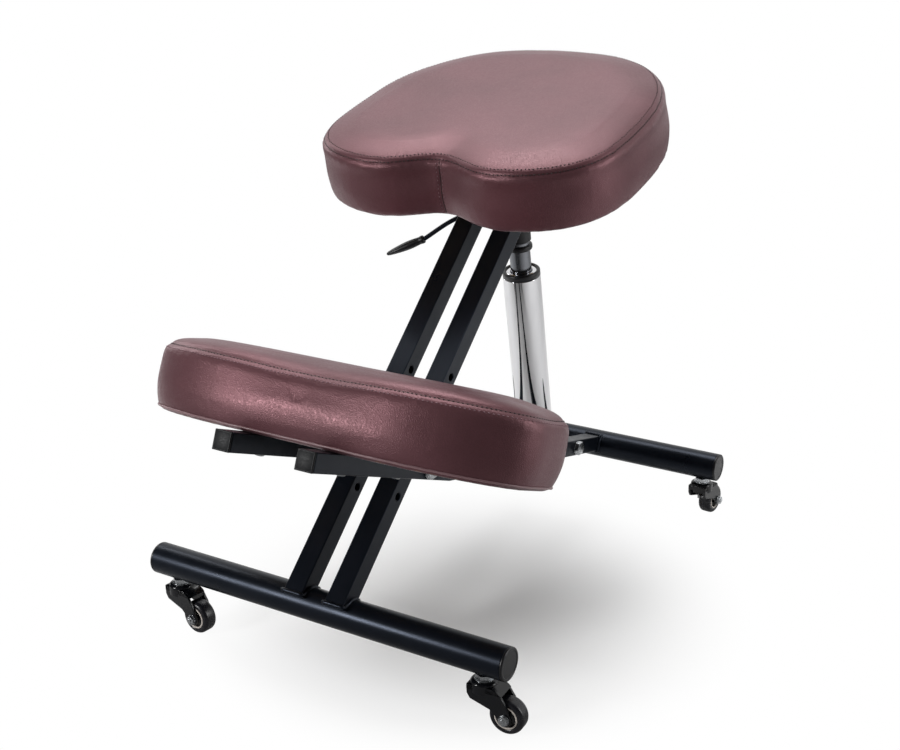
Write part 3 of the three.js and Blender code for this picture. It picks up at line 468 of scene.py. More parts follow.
def cut_away(bm, cutters):
    """The mesh less its cutters, by an exact boolean that is applied at once."""
    body = new_object("blank", bm)
    tool = new_object("cutter", merged(*cutters))
    cut = body.modifiers.new("cut", "BOOLEAN")
    cut.object = tool
    cut.solver = "EXACT"
    cut.use_self = True
    graph = bpy.context.evaluated_depsgraph_get()
    result = bmesh.new()
    result.from_mesh(body.evaluated_get(graph).to_mesh())
    for spare in (body, tool):
        mesh = spare.data
        bpy.data.objects.remove(spare)
        bpy.data.meshes.remove(mesh)
    return result


def skinned(bm, rings, closed=False):
    """Joins rings of points with faces, and closes the two ends, or the loop."""
    pairs = list(zip(rings, rings[1:]))
    if closed:
        pairs.append((rings[-1], rings[0]))
    for low, high in pairs:
        count = len(low)
        for step in range(count):
            bm.faces.new((low[step], low[(step + 1) % count], high[(step + 1) % count], high[step]))
    if not closed:
        bm.faces.new(rings[0])
        bm.faces.new(rings[-1])
    bmesh.ops.recalc_face_normals(bm, faces=bm.faces)
    return bm


def swept(path, radius, sides=12, closed=False):
    """A round rod along points. The radius may be one value, or one for each point."""
    radii = radius if isinstance(radius, list) else [radius] * len(path)
    bm = bmesh.new()
    count = len(path)
    side = None
    rings = []
    for index, point in enumerate(path):
        before = path[index - 1] if closed or index else point
        after = path[(index + 1) % count] if closed or index < count - 1 else point
        way = (after - before).normalized()
        side = way.orthogonal().normalized() if side is None else (side - way * side.dot(way)).normalized()
        ring = bmesh.ops.create_circle(bm, segments=sides, radius=radii[index])["verts"]
        bmesh.ops.transform(bm, verts=ring, matrix=placed(point, side, way.cross(side), way))
        rings.append(ring)
    return skinned(bm, rings, closed)


def drawn_out(outline, way, place):
    """A plate: a flat outline drawn out along a way."""
    bm = bmesh.new()
    face = bm.faces.new([bm.verts.new(point) for point in outline])
    moved = bmesh.ops.extrude_face_region(bm, geom=[face])["geom"]
    verts = [item for item in moved if isinstance(item, bmesh.types.BMVert)]
    bmesh.ops.translate(bm, verts=verts, vec=way)
    bmesh.ops.recalc_face_normals(bm, faces=bm.faces)
    bm.transform(place)
    return bm


def side_plate(outline, low, high, place):
    """A plate of an outline of (x, z) points, between two places along its Y."""
    return drawn_out([(x, low, z) for x, z in outline], (0, high - low, 0), place)


# Materials


def draw_pattern(tree, shader, pattern, tones, rough, rough_by=None):
    """Mixes two tones by a pattern. The roughness is one value, or a range that a pattern spreads."""
    mix = add_node(tree, "ShaderNodeMix", {"Factor": pattern, "A": tones[0], "B": tones[1]}, data_type="RGBA")
    tree.links.new(mix.outputs["Result"], shader.inputs["Base Color"])
    if isinstance(rough, float):
        shader.inputs["Roughness"].default_value = rough
        return
    reach = {"From Min": 0.3, "From Max": 0.7, "To Min": rough[0], "To Max": rough[1]}
    spread = add_node(tree, "ShaderNodeMapRange", {"Value": rough_by or pattern, **reach})
    tree.links.new(spread.outputs["Result"], shader.inputs["Roughness"])


def emboss(tree, shader, height, strength, depth):
    """Bump from a height whose full rise is a real depth in metres."""
    bump = add_node(tree, "ShaderNodeBump", {"Height": height, "Strength": strength, "Distance": depth})
    tree.links.new(bump.outputs["Normal"], shader.inputs["Normal"])
    return bump


def grain_height(tree, place, pitch):
    """Height of a leather grain whose cells have a real pitch in metres."""
    cells = add_node(
        tree, "ShaderNodeTexVoronoi", {"Vector": place, "Scale": 1 / pitch}, feature="DISTANCE_TO_EDGE"
    )
    creases = add_node(
        tree,
        "ShaderNodeMapRange",
        {"Value": cells.outputs["Distance"], "From Min": 0.0, "From Max": 0.35, "To Min": 0.0, "To Max": 1.0},
        interpolation_type="SMOOTHSTEP",
    )
    return creases.outputs["Result"]


@once
def leatherette(colours):
    """Embossed polyurethane imitation leather, semi gloss with a pearl tone: a soft pinkish sheen where
    light grazes it, and darker plum sides."""
    material, tree, shader, place = start_material("pearl_leatherette")
    patches = add_node(
        tree, "ShaderNodeTexNoise", {"Vector": place, "Scale": 9.0, "Detail": 3.0, "Roughness": 0.55}
    )
    fine = add_node(tree, "ShaderNodeTexNoise", {"Vector": place, "Scale": 420.0, "Detail": 2.0})
    fine = fine.outputs["Fac"]
    # Painted shade: the cover is darker within 2 mm of a seam, where the seam's groove lies.
    seam = add_node(tree, "ShaderNodeAttribute", attribute_name="seam_gap")
    reach = {"From Min": 0.4 * MM, "From Max": 1.8 * MM, "To Min": 1.0, "To Max": 0.0}
    near = add_node(
        tree,
        "ShaderNodeMapRange",
        {"Value": seam.outputs["Fac"], **reach},
        interpolation_type="SMOOTHSTEP",
    )
    tone = add_node(
        tree,
        "ShaderNodeMapRange",
        {"Value": patches.outputs["Fac"], "From Min": 0.35, "From Max": 0.68, "To Min": 0.0, "To Max": 0.34},
    )
    grainy = add_node(
        tree, "ShaderNodeMath", {0: fine, 1: 0.22, 2: tone.outputs["Result"]}, operation="MULTIPLY_ADD"
    )
    grain_and_seam_shade = add_node(
        # The grain's own tone plus the painted shade in the seams' grooves.
        tree,
        "ShaderNodeMath",
        {0: near.outputs["Result"], 1: 0.75, 2: grainy.outputs[0]},
        operation="MULTIPLY_ADD",
        use_clamp=True,
    )
    tones = (colours.leather, colours.leather_deep)
    draw_pattern(tree, shader, grain_and_seam_shade.outputs[0], tones, (0.33, 0.43), rough_by=fine)
    shader.inputs["Metallic"].default_value = 0.42
    shader.inputs["IOR"].default_value = 1.42
    shader.inputs["Sheen Weight"].default_value = 0.06
    shader.inputs["Sheen Tint"].default_value = linear("#E9C6D0")
    # The real grain is about 0.8 mm. It is drawn at 1.8 mm, as fine as the render can show.
    grain = emboss(tree, shader, grain_height(tree, place, 1.8 * MM), 0.55, 0.16 * MM)
    folds = add_node(
        tree,
        "ShaderNodeTexNoise",
        {"Vector": place, "Scale": 55.0, "Detail": 2.0, "Roughness": 0.6, "Distortion": 0.6},
    )
    waves = emboss(tree, shader, folds.outputs["Fac"], 0.16, 0.9 * MM)
    tree.links.new(grain.outputs["Normal"], waves.inputs["Normal"])
    return material


def thread_material(name, tone):
    """Polyester thread: dull, with its own twist."""
    material, tree, shader, place = start_material(name)
    twist = add_node(tree, "ShaderNodeTexNoise", {"Vector": place, "Scale": 2500.0, "Detail": 1.0})
    draw_pattern(tree, shader, twist.outputs["Fac"], (tone, shade_of(tone, 0.6)), 0.6)
    return material


@once
def pale_thread(colours):
    return thread_material("polyester_thread_pale", colours.thread)


# Colours the dark stitches, and also the painted shade rod in the seat's front seam.
@once
def dark_thread_and_seam_shade(colours):
    return thread_material("polyester_thread_dark", colours.thread_dark_and_seam_shade)


@once
def piping_material(colours):
    """Vinyl piping: smooth and a little glossier than the cover."""
    material, tree, shader, place = start_material("vinyl_piping")
    shader.inputs["Base Color"].default_value = colours.piping
    shader.inputs["Roughness"].default_value = 0.35
    emboss(tree, shader, grain_height(tree, place, 1.2 * MM), 0.2, 0.1 * MM)
    return material


@once
def powder_coat(colours):
    """Satin powder coat on steel: bluish black, with a long soft highlight and a slight orange peel."""
    material, tree, shader, place = start_material("satin_powder_coat")
    # Orange peel of a powder coat is about 2 mm from hill to hill.
    peel = add_node(tree, "ShaderNodeTexNoise", {"Vector": place, "Scale": 520.0, "Detail": 1.0})
    dust = add_node(
        tree, "ShaderNodeTexNoise", {"Vector": place, "Scale": 22.0, "Detail": 5.0, "Roughness": 0.65}
    )
    tones = (colours.powder, shade_of(colours.powder, 1.35))
    draw_pattern(tree, shader, dust.outputs["Fac"], tones, (0.27, 0.36))
    shader.inputs["IOR"].default_value = 1.36
    shader.inputs["Specular Tint"].default_value = linear("#CFDDF8")
    emboss(tree, shader, peel.outputs["Fac"], 0.12, 0.15 * MM)
    return material


def moulded(name, tone, rough, pitch, ior=1.46):
    """Moulded plastic: a fine eroded texture with the sheen between two roughness values."""
    material, tree, shader, place = start_material(name)
    grain = add_node(tree, "ShaderNodeTexNoise", {"Vector": place, "Scale": 1 / pitch, "Detail": 2.0})
    draw_pattern(tree, shader, grain.outputs["Fac"], (tone, shade_of(tone, 1.3)), rough)
    shader.inputs["IOR"].default_value = ior
    emboss(tree, shader, grain.outputs["Fac"], 0.1, 0.1 * MM)
    return material


@once
def black_nylon(colours):
    """Glass filled nylon of the caps, the bush, the head and the paddle: satin black."""
    return moulded("moulded_black_nylon", colours.plastic, (0.32, 0.42), 1.2 * MM)


@once
def gloss_nylon(colours):
    """Polished black nylon of the caster forks: tight highlights."""
    return moulded("gloss_black_nylon", colours.plastic, (0.14, 0.2), 2.5 * MM)


@once
def plug_plastic(colours):
    """Polyethylene plugs: black and dull, with scuffs."""
    return moulded("polyethylene_plug", colours.plug, (0.4, 0.55), 1.5 * MM, ior=1.28)


@once
def tyre_material(colours):
    """Polyurethane tread: smooth and dark, with a broad sheen."""
    return moulded("polyurethane_tread", colours.tyre, (0.24, 0.34), 2 * MM)


@once
def ring_material(colours):
    """Off-white nylon ring of the wheel."""
    return moulded("off_white_nylon", colours.ring, (0.35, 0.45), 1.5 * MM)


def plated(name, tone, rough, stretch, strength):
    """Plated or ground metal. Its fine marks are stretched along one axis."""
    material, tree, shader, place = start_material(name)
    stretched = add_node(tree, "ShaderNodeMapping", {"Vector": place, "Scale": stretch}).outputs["Vector"]
    marks = add_node(tree, "ShaderNodeTexNoise", {"Vector": stretched, "Scale": 1.0, "Detail": 3.0})
    draw_pattern(tree, shader, marks.outputs["Fac"], (tone, shade_of(tone, 0.82)), rough)
    shader.inputs["Metallic"].default_value = 1.0
    emboss(tree, shader, marks.outputs["Fac"], strength, 0.05 * MM)
    return material


@once
def chrome(colours):
    """Bright chrome plate on drawn tube: mirror like, with faint waves across the drawing direction."""
    return plated("bright_chrome_plate", colours.chrome, (0.03, 0.07), (70.0, 70.0, 9.0), 0.5)


@once
def ground_steel(colours):
    """Ground and hard chromed cylinder: fine rings round it and a blurred reflection."""
    return plated("ground_cylinder_steel", colours.steel, (0.16, 0.26), (60.0, 60.0, 1800.0), 0.35)


@once
def zinc(colours):
    """Clear zinc plate: pale and a little clouded."""
    return plated("clear_zinc_plate", colours.zinc, (0.22, 0.36), (400.0, 400.0, 400.0), 0.3)


@once
def plywood(colours):
    """Bare poplar plywood: long grain and a few darker streaks."""
    material, tree, shader, place = start_material("poplar_plywood")
    stretched = add_node(tree, "ShaderNodeMapping", {"Vector": place, "Scale": (12.0, 260.0, 260.0)})
    grain = add_node(
        tree,
        "ShaderNodeTexNoise",
        {"Vector": stretched.outputs["Vector"], "Scale": 1.0, "Detail": 5.0, "Distortion": 0.8},
    )
    tones = (colours.plywood, shade_of(colours.plywood, 0.55))
    draw_pattern(tree, shader, grain.outputs["Fac"], tones, 0.75)
    emboss(tree, shader, grain.outputs["Fac"], 0.3, 0.2 * MM)
    return material


# Each finish is a material with the slot of the record that it goes with.
POWDER = (powder_coat, "powder_coat")
LEVER_COAT = (powder_coat, "lever_coat")
PLASTIC = (black_nylon, "black_plastic")
PLUG = (plug_plastic, "plug_plastic")
FORK = (gloss_nylon, "caster_plastic")
HUB = (gloss_nylon, "hub_plastic")
HUB_RING = (ring_material, "hub_plastic")
TYRE = (tyre_material, "tyre_rubber")
CHROME = (chrome, "chrome")
CYLINDER = (ground_steel, "cylinder_steel")
ZINC = (zinc, "zinc_steel")
PLYWOOD = (plywood, "plywood")


# Steel frames. A side view point is a pair (y, z).


def side_point(point, x):
    """A side view point as a place."""
    return Vector((x, point[0], point[1]))


def flat(place):
    """The side view point of a place."""
    return Vector((place.y, place.z))


def heading(turn):
    return Vector((math.cos(turn), math.sin(turn)))


def square_bar(line, side, x):
    """A square bar along side view points, with mitred joints."""
    bm = bmesh.new()
    rings = []
    for index, point in enumerate(line):
        into = (point - line[index - 1]).normalized() if index else None
        out = (line[index + 1] - point).normalized() if index < len(line) - 1 else None
        first, second = into or out, out or into
        normal = Vector((-first.y - second.y, first.x + second.x)).normalized()
        stretch = side / 2 / normal.dot(Vector((-first.y, first.x)))
        ring = []
        for across, up in ((-1, -1), (1, -1), (1, 1), (-1, 1)):
            corner = point + normal * stretch * up
            ring.append(bm.verts.new((x + across * side / 2, corner.x, corner.y)))
        rings.append(ring)
    return skinned(bm, rings)


def drill_at(point, radius, x, depth):
    """A drill along X through a side view point."""
    bm = bmesh.new()
    place = aim(side_point(point, x), X_WAY, UP)
    bmesh.ops.create_cone(
        bm, cap_ends=True, segments=24, radius1=radius, radius2=radius, depth=depth, matrix=place
    )
    return bm


def knee_line():
    """Front end, bend and rear end of the knee bars, as side view points."""
    sizes = bpy.context.scene.chair_frame
    forward = heading(math.pi - sizes.knee_bar_tilt)
    bend = flat(main_pivot) - forward * sizes.knee_bend_run
    rear = flat(crossbar_axle("rear")) + Vector((0, sizes.rear_end_rise))
    return bend + forward * sizes.knee_bar_reach, bend, rear


def weld_bead(base, way, side, x, end, seed):
    """A weld bead round a square bar, where it meets the round crossbar of an end."""
    bead = bpy.context.scene.chair_frame.weld_radius
    axle = flat(crossbar_axle(end))
    radius = crossbar_radius(end)
    normal = Vector((-way.y, way.x))
    half = side / 2 + bead * 0.3
    corners = [(-half, -half), (half, -half), (half, half), (-half, half)]
    steps = 10
    path = []
    radii = []
    for index, start in enumerate(corners):
        stop = corners[(index + 1) % 4]
        for step in range(steps):
            share = step / steps
            across = start[0] + (stop[0] - start[0]) * share
            up = start[1] + (stop[1] - start[1]) * share
            origin = base + normal * up - axle
            along = origin.dot(way)
            reach = -along + math.sqrt(max(along**2 - origin.length_squared + radius**2, 0))
            point = base + normal * up + way * reach
            path.append(side_point(point, x + across))
            radii.append(bead * (1 + 0.28 * noise.noise(Vector((across * 400, up * 400, seed)))))
    return swept(path, radii, sides=10, closed=True)


class CHAIR_OT_crossbars(bpy.types.Operator):
    """Makes both crossbars with their end caps"""

    bl_idname = "chair.crossbars"
    bl_label = "Crossbars"

    def execute(self, context):
        cap = context.scene.chair_frame.crossbar_cap
        for end, body in ENDS.items():
            axle = crossbar_axle(end)
            radius = crossbar_radius(end)
            node = f"{end}_crossbar"
            low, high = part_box(node)
            half = (high.x - low.x) / 2
            inner = radius * 0.9
            tube = turned(band(inner, radius, -half, half), aim(axle, X_WAY, UP), steps=96, closed=True)
            piece(f"{end}_tube", tube, POWDER, body, [node], edge=0.5 * MM)
            # A plug in the tube, a rounded rim over its end and a shallow dish in the middle.
            dome = [(0, -cap * 2), (inner * 0.98, -cap * 2), (inner * 0.98, 0), (radius - 0.2 * MM, 0)]
            dome += arc((radius - cap * 0.55, cap * 0.45), cap * 0.53, 0, 80, 5)
            dome += [(radius * 0.84, cap * 0.97), (radius * 0.8, cap * 0.8), (0, cap * 0.84)]
            for name, side in SIDES.items():
                seat = aim(axle + X_WAY * side * (half + 0.15 * MM), X_WAY * side, UP)
                closing = turned(dome, seat, steps=72)
                piece(f"{end}_end_cap_{name}", closing, PLASTIC, body, [f"{end}_cap_{name}"], edge=0.25 * MM)
        return {"FINISHED"}


class CHAIR_OT_seat_bars(bpy.types.Operator):
    """Makes the two seat bars with their height holes and welds"""

    bl_idname = "chair.seat_bars"
    bl_label = "Seat Bars"

    def execute(self, context):
        sizes = context.scene.chair_frame
        way = heading(sizes.seat_bar_lean)
        pivot = flat(main_pivot)
        start = pivot + way * (flat(crossbar_axle("front")) - pivot).dot(way)
        up, origin = seat_frame()
        for name, side in SIDES.items():
            low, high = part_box(f"seat_bar_{name}")
            x = (low.x + high.x) / 2
            width = high.x - low.x
            bar = square_bar([start, pivot + way * (high.z - low.z) * 2], width, x)
            cut = bmesh.ops.bisect_plane(
                bar,
                geom=[*bar.verts, *bar.edges, *bar.faces],
                plane_co=origin - up * 3 * MM,
                plane_no=up,
                clear_outer=True,
            )
            rim = [item for item in cut["geom_cut"] if isinstance(item, bmesh.types.BMEdge)]
            bmesh.ops.holes_fill(bar, edges=rim)
            spots = [pivot + way * sizes.hole_pitch * step for step in (-1, 1, 2, 3)]
            bar = cut_away(bar, [drill_at(spot, sizes.hole_radius, x, width * 2) for spot in spots])
            replaced = [f"seat_bar_{name}"]
            corner = sizes.bar_corner
            piece(f"seat_upright_{name}", bar, POWDER, "front_frame", replaced, edge=corner, segments=3)
            bead = weld_bead(start, way, width, x, "front", side * 3.1)
            piece(f"front_weld_{name}", bead, POWDER, "front_frame")
        return {"FINISHED"}


class CHAIR_OT_knee_bars(bpy.types.Operator):
    """Makes the two knee bars with their plugs, screws and welds"""

    bl_idname = "chair.knee_bars"
    bl_label = "Knee Bars"

    def execute(self, context):
        sizes = context.scene.chair_frame
        front, bend, rear = knee_line()
        forward = (front - bend).normalized()
        back = (rear - bend).normalized()
        under = Vector((-forward.y, forward.x))
        for name, side in SIDES.items():
            low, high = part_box(f"knee_bar_{name}")
            x = (low.x + high.x) / 2
            width = high.x - low.x
            bar = square_bar([front, bend, rear], width, x)
            replaced = [f"knee_bar_{name}"]
            piece(f"knee_rail_{name}", bar, POWDER, "rear_frame", replaced, edge=sizes.bar_corner, segments=3)
            bead = weld_bead(rear, -back, width, x, "rear", side * 5.7)
            piece(f"rear_weld_{name}", bead, POWDER, "rear_frame")
            plug = self.plug(width, aim(side_point(front, x), side_point(forward, 0)))
            replaced = [f"knee_plug_{name}"]
            piece(f"rail_plug_{name}", plug, PLUG, "rear_frame", replaced, edge=0.7 * MM, segments=3)
            for number, run in enumerate((-0.5, 0.5)):
                middle = sizes.knee_pad_middle + run * sizes.knee_screw_pitch
                spot = bend + forward * middle + under * (width / 2)
                screw = pan_screw(aim(side_point(spot, x), side_point(under, 0)))
                piece(f"knee_screw_{name}_{number + 1}", screw, ZINC, "rear_frame", edge=0.15 * MM)
        return {"FINISHED"}

    def plug(self, width, place):
        """The head of a bar's plug, with a groove round its face."""
        height = 3.2 * MM
        bm = bmesh.new()
        add_box(bm, (width, width, height), Matrix.Translation((0, 0, height / 2)))
        top = upper_faces(bm)
        raised(bm, top, 2.2 * MM, -0.5 * MM)
        raised(bm, top, 1.2 * MM, 0.35 * MM)
        bm.transform(place)
        return bm


def pan_screw(place):
    """A pan head screw with a cross recess, that stands on its place."""
    sizes = bpy.context.scene.chair_fasteners
    radius, height = sizes.screw_radius, sizes.screw_height
    turns = [math.radians(turn) for turn in (12, 30, 50, 70)]
    profile = [(0, -1 * MM), (radius * 0.5, -1 * MM), (radius, 0)]
    profile += [(radius * math.cos(turn) ** 0.6, height * math.sin(turn)) for turn in turns]
    head = turned([*profile, (0, height)], place, steps=40)
    slots = []
    for size in ((5.2 * MM, 1.1 * MM, 1.6 * MM), (1.1 * MM, 5.2 * MM, 1.6 * MM)):
        slot = bmesh.new()
        add_box(slot, size, place @ Matrix.Translation((0, 0, height)))
        slots.append(slot)
    return cut_away(head, slots)


def bolt_end(name, spot, way, body, replaces=(), nut=False):
    """A hex bolt head, or a nut with the bolt's end, that stands on its spot."""
    sizes = bpy.context.scene.chair_fasteners
    place = aim(spot, way, UP)
    height = sizes.nut_height if nut else sizes.head_height
    flats = sizes.bolt_flats
    parts = [
        hexagon(flats, 0, height - 0.5 * MM, place),
        turned(band(0, flats * 0.56, 0, 0.8 * MM), place, steps=48),
    ]
    if nut:
        bolt = sizes.bolt_radius
        thread = [(0, 0), (bolt, 0)]
        for turn in range(6):
            level = height + turn * 0.35 * MM
            thread += [(bolt, level), (bolt - 0.3 * MM, level + 0.17 * MM)]
        top = height + 2 * MM
        parts.append(turned([*thread, (bolt * 0.8, top), (0, top)], place, steps=32))
    piece(name, merged(*parts), ZINC, body, replaces, edge=0.25 * MM)


class CHAIR_OT_pivots(bpy.types.Operator):
    """Makes the main pivot bolts, the foot bolt and the washers"""

    bl_idname = "chair.pivots"
    bl_label = "Pivots"

    def execute(self, context):
        sizes = context.scene.chair_fasteners
        bolt, washer = sizes.bolt_radius, sizes.washer_radius
        pivot = flat(main_pivot)
        for name, side in SIDES.items():
            low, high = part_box(f"pivot_bolt_{name}")
            outer, inner = (high.x, low.x) if side > 0 else (low.x, high.x)
            spot = side_point(pivot, outer - side * sizes.head_height)
            bolt_end(f"pivot_head_{name}", spot, X_WAY * side, "front_frame", [f"pivot_bolt_{name}"])
            spot = side_point(pivot, inner + side * sizes.nut_height)
            bolt_end(f"pivot_nut_{name}", spot, -X_WAY * side, "front_frame", nut=True)
            low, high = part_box(f"pivot_washer_{name}")
            place = aim(side_point(pivot, low.x), X_WAY, UP)
            ring = turned(band(bolt, washer, 0, high.x - low.x), place, closed=True)
            piece(f"washer_{name}", ring, ZINC, "front_frame", [f"pivot_washer_{name}"], edge=0.2 * MM)
        foot = flat(foot_pivot)
        low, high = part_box("foot_bolt")
        spot = side_point(foot, high.x - sizes.head_height)
        bolt_end("foot_head", spot, X_WAY, "rear_frame", ["foot_bolt"])
        spot = side_point(foot, low.x + sizes.nut_height + 2 * MM)
        bolt_end("foot_nut", spot, -X_WAY, "rear_frame", nut=True)
        return {"FINISHED"}


class CHAIR_OT_bracket(bpy.types.Operator):
    """Finishes the seat bracket, its screws and the lift pin"""

    bl_idname = "chair.bracket"
    bl_label = "Seat Bracket"

    def execute(self, context):
        plate = bmesh.new()
        plate.from_mesh(frame["nodes"]["seat_bracket"].data)
        bmesh.ops.remove_doubles(plate, verts=plate.verts, dist=2e-6)
        bmesh.ops.dissolve_limit(plate, angle_limit=math.radians(1), verts=plate.verts, edges=plate.edges)
        piece("bracket_plate", plate, POWDER, "front_frame", ["seat_bracket"], edge=0.5 * MM)

        up = seat_frame()[0]
        for spot in ("front_left", "front_right", "back_left", "back_right"):
            node = f"seat_screw_{spot}"
            corners = [Vector(v.co) for v in frame["nodes"][node].data.vertices]
            lowest = min(corner.dot(up) for corner in corners)
            head = [corner for corner in corners if corner.dot(up) < lowest + 1e-5]
            face = sum(head, Vector()) / len(head) + up * 3.5 * MM
            screw = pan_screw(aim(face, -up))
            piece(f"board_screw_{spot}", screw, ZINC, "front_frame", [node], edge=0.15 * MM)

        low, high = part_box("lift_pin")
        middle = foot_pivot + lift_way * context.scene.chair_lift.pin_height
        place = aim(side_point(flat(middle), low.x), X_WAY, UP)
        long = high.x - low.x
        radius = context.scene.chair_fasteners.bolt_radius
        pin = [(0, 0), (radius * 0.85, 0), (radius, 0.8 * MM)]
        for clip in (1 * MM, long - 2.6 * MM):
            pin += band(radius, radius + 4 * MM, clip, clip + 1.6 * MM)
        pin += [(radius, long - 0.8 * MM), (radius * 0.85, long), (0, long)]
        piece("head_pin", turned(pin, place, steps=48), ZINC, "front_frame", ["lift_pin"], edge=0.15 * MM)
        return {"FINISHED"}


# Gas lift and lever


class CHAIR_OT_gas_lift(bpy.types.Operator):
    """Makes the gas lift: foot, column, bush, cylinder and head"""

    bl_idname = "chair.gas_lift"
    bl_label = "Gas Lift"

    def execute(self, context):
        sizes = context.scene.chair_lift
        self.column(sizes)
        self.cylinder(sizes)
        self.head(sizes)
        self.button(sizes)
        return {"FINISHED"}

    def column(self, sizes):
        """The chrome tube with its foot, bush and cover ring."""
        body = "lift_column"
        radius, top = sizes.column_radius, sizes.column_top
        bore = radius - 2 * MM
        tube = turned(band(bore, radius, sizes.column_bottom, top), lift_place, steps=128, closed=True)
        piece("lift_tube", tube, CHROME, body, ["column_tube"], edge=0.6 * MM, segments=3)

        low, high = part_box("column_foot")
        half = (high.x - low.x) / 2
        cross = turned(band(0, 12 * MM, -half, half), aim(foot_pivot, X_WAY, UP), steps=64)
        cone = [(0, 9 * MM), (radius, 11 * MM), (radius, 17 * MM), (0, 17 * MM)]
        foot = merged(cross, turned(cone, lift_place, steps=96))
        piece("lift_foot", foot, POWDER, body, ["column_foot", "piston_rod"], edge=0.6 * MM)

        rim = top + sizes.bush_rim
        ring = sizes.ring_radius
        slide = sizes.cylinder_radius + 0.3 * MM
        bush = [(slide, top - 20 * MM), (bore - 0.3 * MM, top - 20 * MM), (bore - 0.3 * MM, top + 0.2 * MM)]
        bush += [(radius, top + 0.2 * MM), *arc((radius - 2.2 * MM, rim - 2.2 * MM), 2.2 * MM, 0, 90, 6)]
        bush += [(ring + 0.6 * MM, rim), (ring + 0.2 * MM, rim - 1.6 * MM), (slide, rim - 1.6 * MM)]
        bush = turned(bush, lift_place, steps=128, closed=True)
        piece("guide_bush", bush, PLASTIC, body, ["column_bush"])

        cover = [(slide, rim - 1.5 * MM), (ring, rim - 1.5 * MM), (ring, rim - 0.8 * MM)]
        cover += [(slide + 2 * MM, rim - 1.1 * MM), (slide, rim - 1.2 * MM)]
        cover = turned(cover, lift_place, steps=128, closed=True)
        piece("cover_ring", cover, CHROME, body, ["column_cover_ring"])

    def cylinder(self, sizes):
        """The gas cylinder."""
        top = sizes.head_bottom + 30 * MM
        cylinder = turned(band(0, sizes.cylinder_radius, sizes.cylinder_bottom, top), lift_place, steps=96)
        piece("lift_cylinder", cylinder, CYLINDER, "lift_cylinder", ["gas_cylinder"], edge=0.8 * MM)

    def head(self, sizes):
        """The plastic head: a socket with a slot for the lever, and a tongue with the pin's bore."""
        body = "lift_cylinder"
        wide, rod = sizes.head_radius, sizes.cylinder_radius
        base, shoulder = sizes.head_bottom, sizes.head_shoulder
        collar = base + sizes.head_collar
        reach = sizes.tongue_radius
        if sizes.pin_height + reach < shoulder:
            raise RuntimeError("the head's tongue ends below its shoulder")
        head = [(rod, base + 0.8 * MM), (rod + 1 * MM, base)]
        head += arc((wide - 1 * MM, base + 2 * MM), 2 * MM, -90, 0, 4)
        head += arc((wide - 1 * MM, collar - 2 * MM), 2 * MM, 0, 90, 4)
        head += [(wide - 2.6 * MM, collar + 0.6 * MM), (wide - 2.6 * MM, collar + 4 * MM)]
        head += [(wide, collar + 6 * MM), (wide, shoulder - 2 * MM), (wide - 2 * MM, shoulder)]
        head += [(0, shoulder), (0, base + 0.8 * MM)]
        slot = bmesh.new()
        lever_level = Matrix.Translation((0, 0, sizes.lever_height))
        add_box(slot, (wide * 4, 6.6 * MM, 9 * MM), lift_place @ lever_level)
        socket = cut_away(turned(head, lift_place, steps=96, closed=True), [slot])
        piece("lift_head_socket", socket, PLASTIC, body, ["lift_head"], edge=0.4 * MM)

        root = shoulder - 3 * MM
        outline = [(-reach, root), (reach, root), *arc((0, sizes.pin_height), reach, 0, 180, 16)]
        turn = lift_place @ Matrix.Rotation(QUARTER, 4, "Z")
        tongue = side_plate(outline, -11.7 * MM, 11.7 * MM, turn)
        bore = drill_at(flat(foot_pivot + lift_way * sizes.pin_height), 6 * MM, main_pivot.x, 60 * MM)
        piece("lift_head_tongue", cut_away(tongue, [bore]), PLASTIC, body, edge=0.8 * MM)

        seat = Matrix.Translation((-9 * MM, 0, sizes.lever_height))
        place = lift_place @ seat @ Matrix.Rotation(QUARTER, 4, "X")
        pin = turned(band(0, 1.5 * MM, -16 * MM, 16 * MM), place, steps=32)
        piece("lever_pivot", pin, ZINC, body, ["lever_pin"], edge=0.3 * MM)

    def button(self, sizes):
        """The release button in the head."""
        seat = sizes.lever_height - 5.5 * MM
        knob = [(0, seat - 6 * MM), (2.5 * MM, seat - 6 * MM), (2.5 * MM, seat), (4 * MM, seat)]
        knob += [(4 * MM, seat + 2.7 * MM), (0, seat + 2.7 * MM)]
        knob = turned(knob, lift_place, steps=32)
        piece("valve_knob", knob, ZINC, "valve_button", ["release_button"], edge=0.3 * MM)


def lever_spot(out, forward, drop):
    """A point of the lever, from its root in the head, set in the chair's own directions."""
    root = foot_pivot + lift_way * bpy.context.scene.chair_lift.lever_height
    return root + Vector((-out, -forward, -drop))


def curve_through(points, steps):
    """Points of a Catmull-Rom curve through a few places."""
    ends = [points[0] * 2 - points[1], *points, points[-1] * 2 - points[-2]]
    path = []
    for p0, p1, p2, p3 in zip(ends, ends[1:], ends[2:], ends[3:]):
        square = p0 * 2 - p1 * 5 + p2 * 4 - p3
        cubic = p1 * 3 - p0 - p2 * 3 + p3
        for t in (step / steps for step in range(steps)):
            path.append(0.5 * (p1 * 2 + (p2 - p0) * t + square * t**2 + cubic * t**3))
    return [*path, points[-1]]


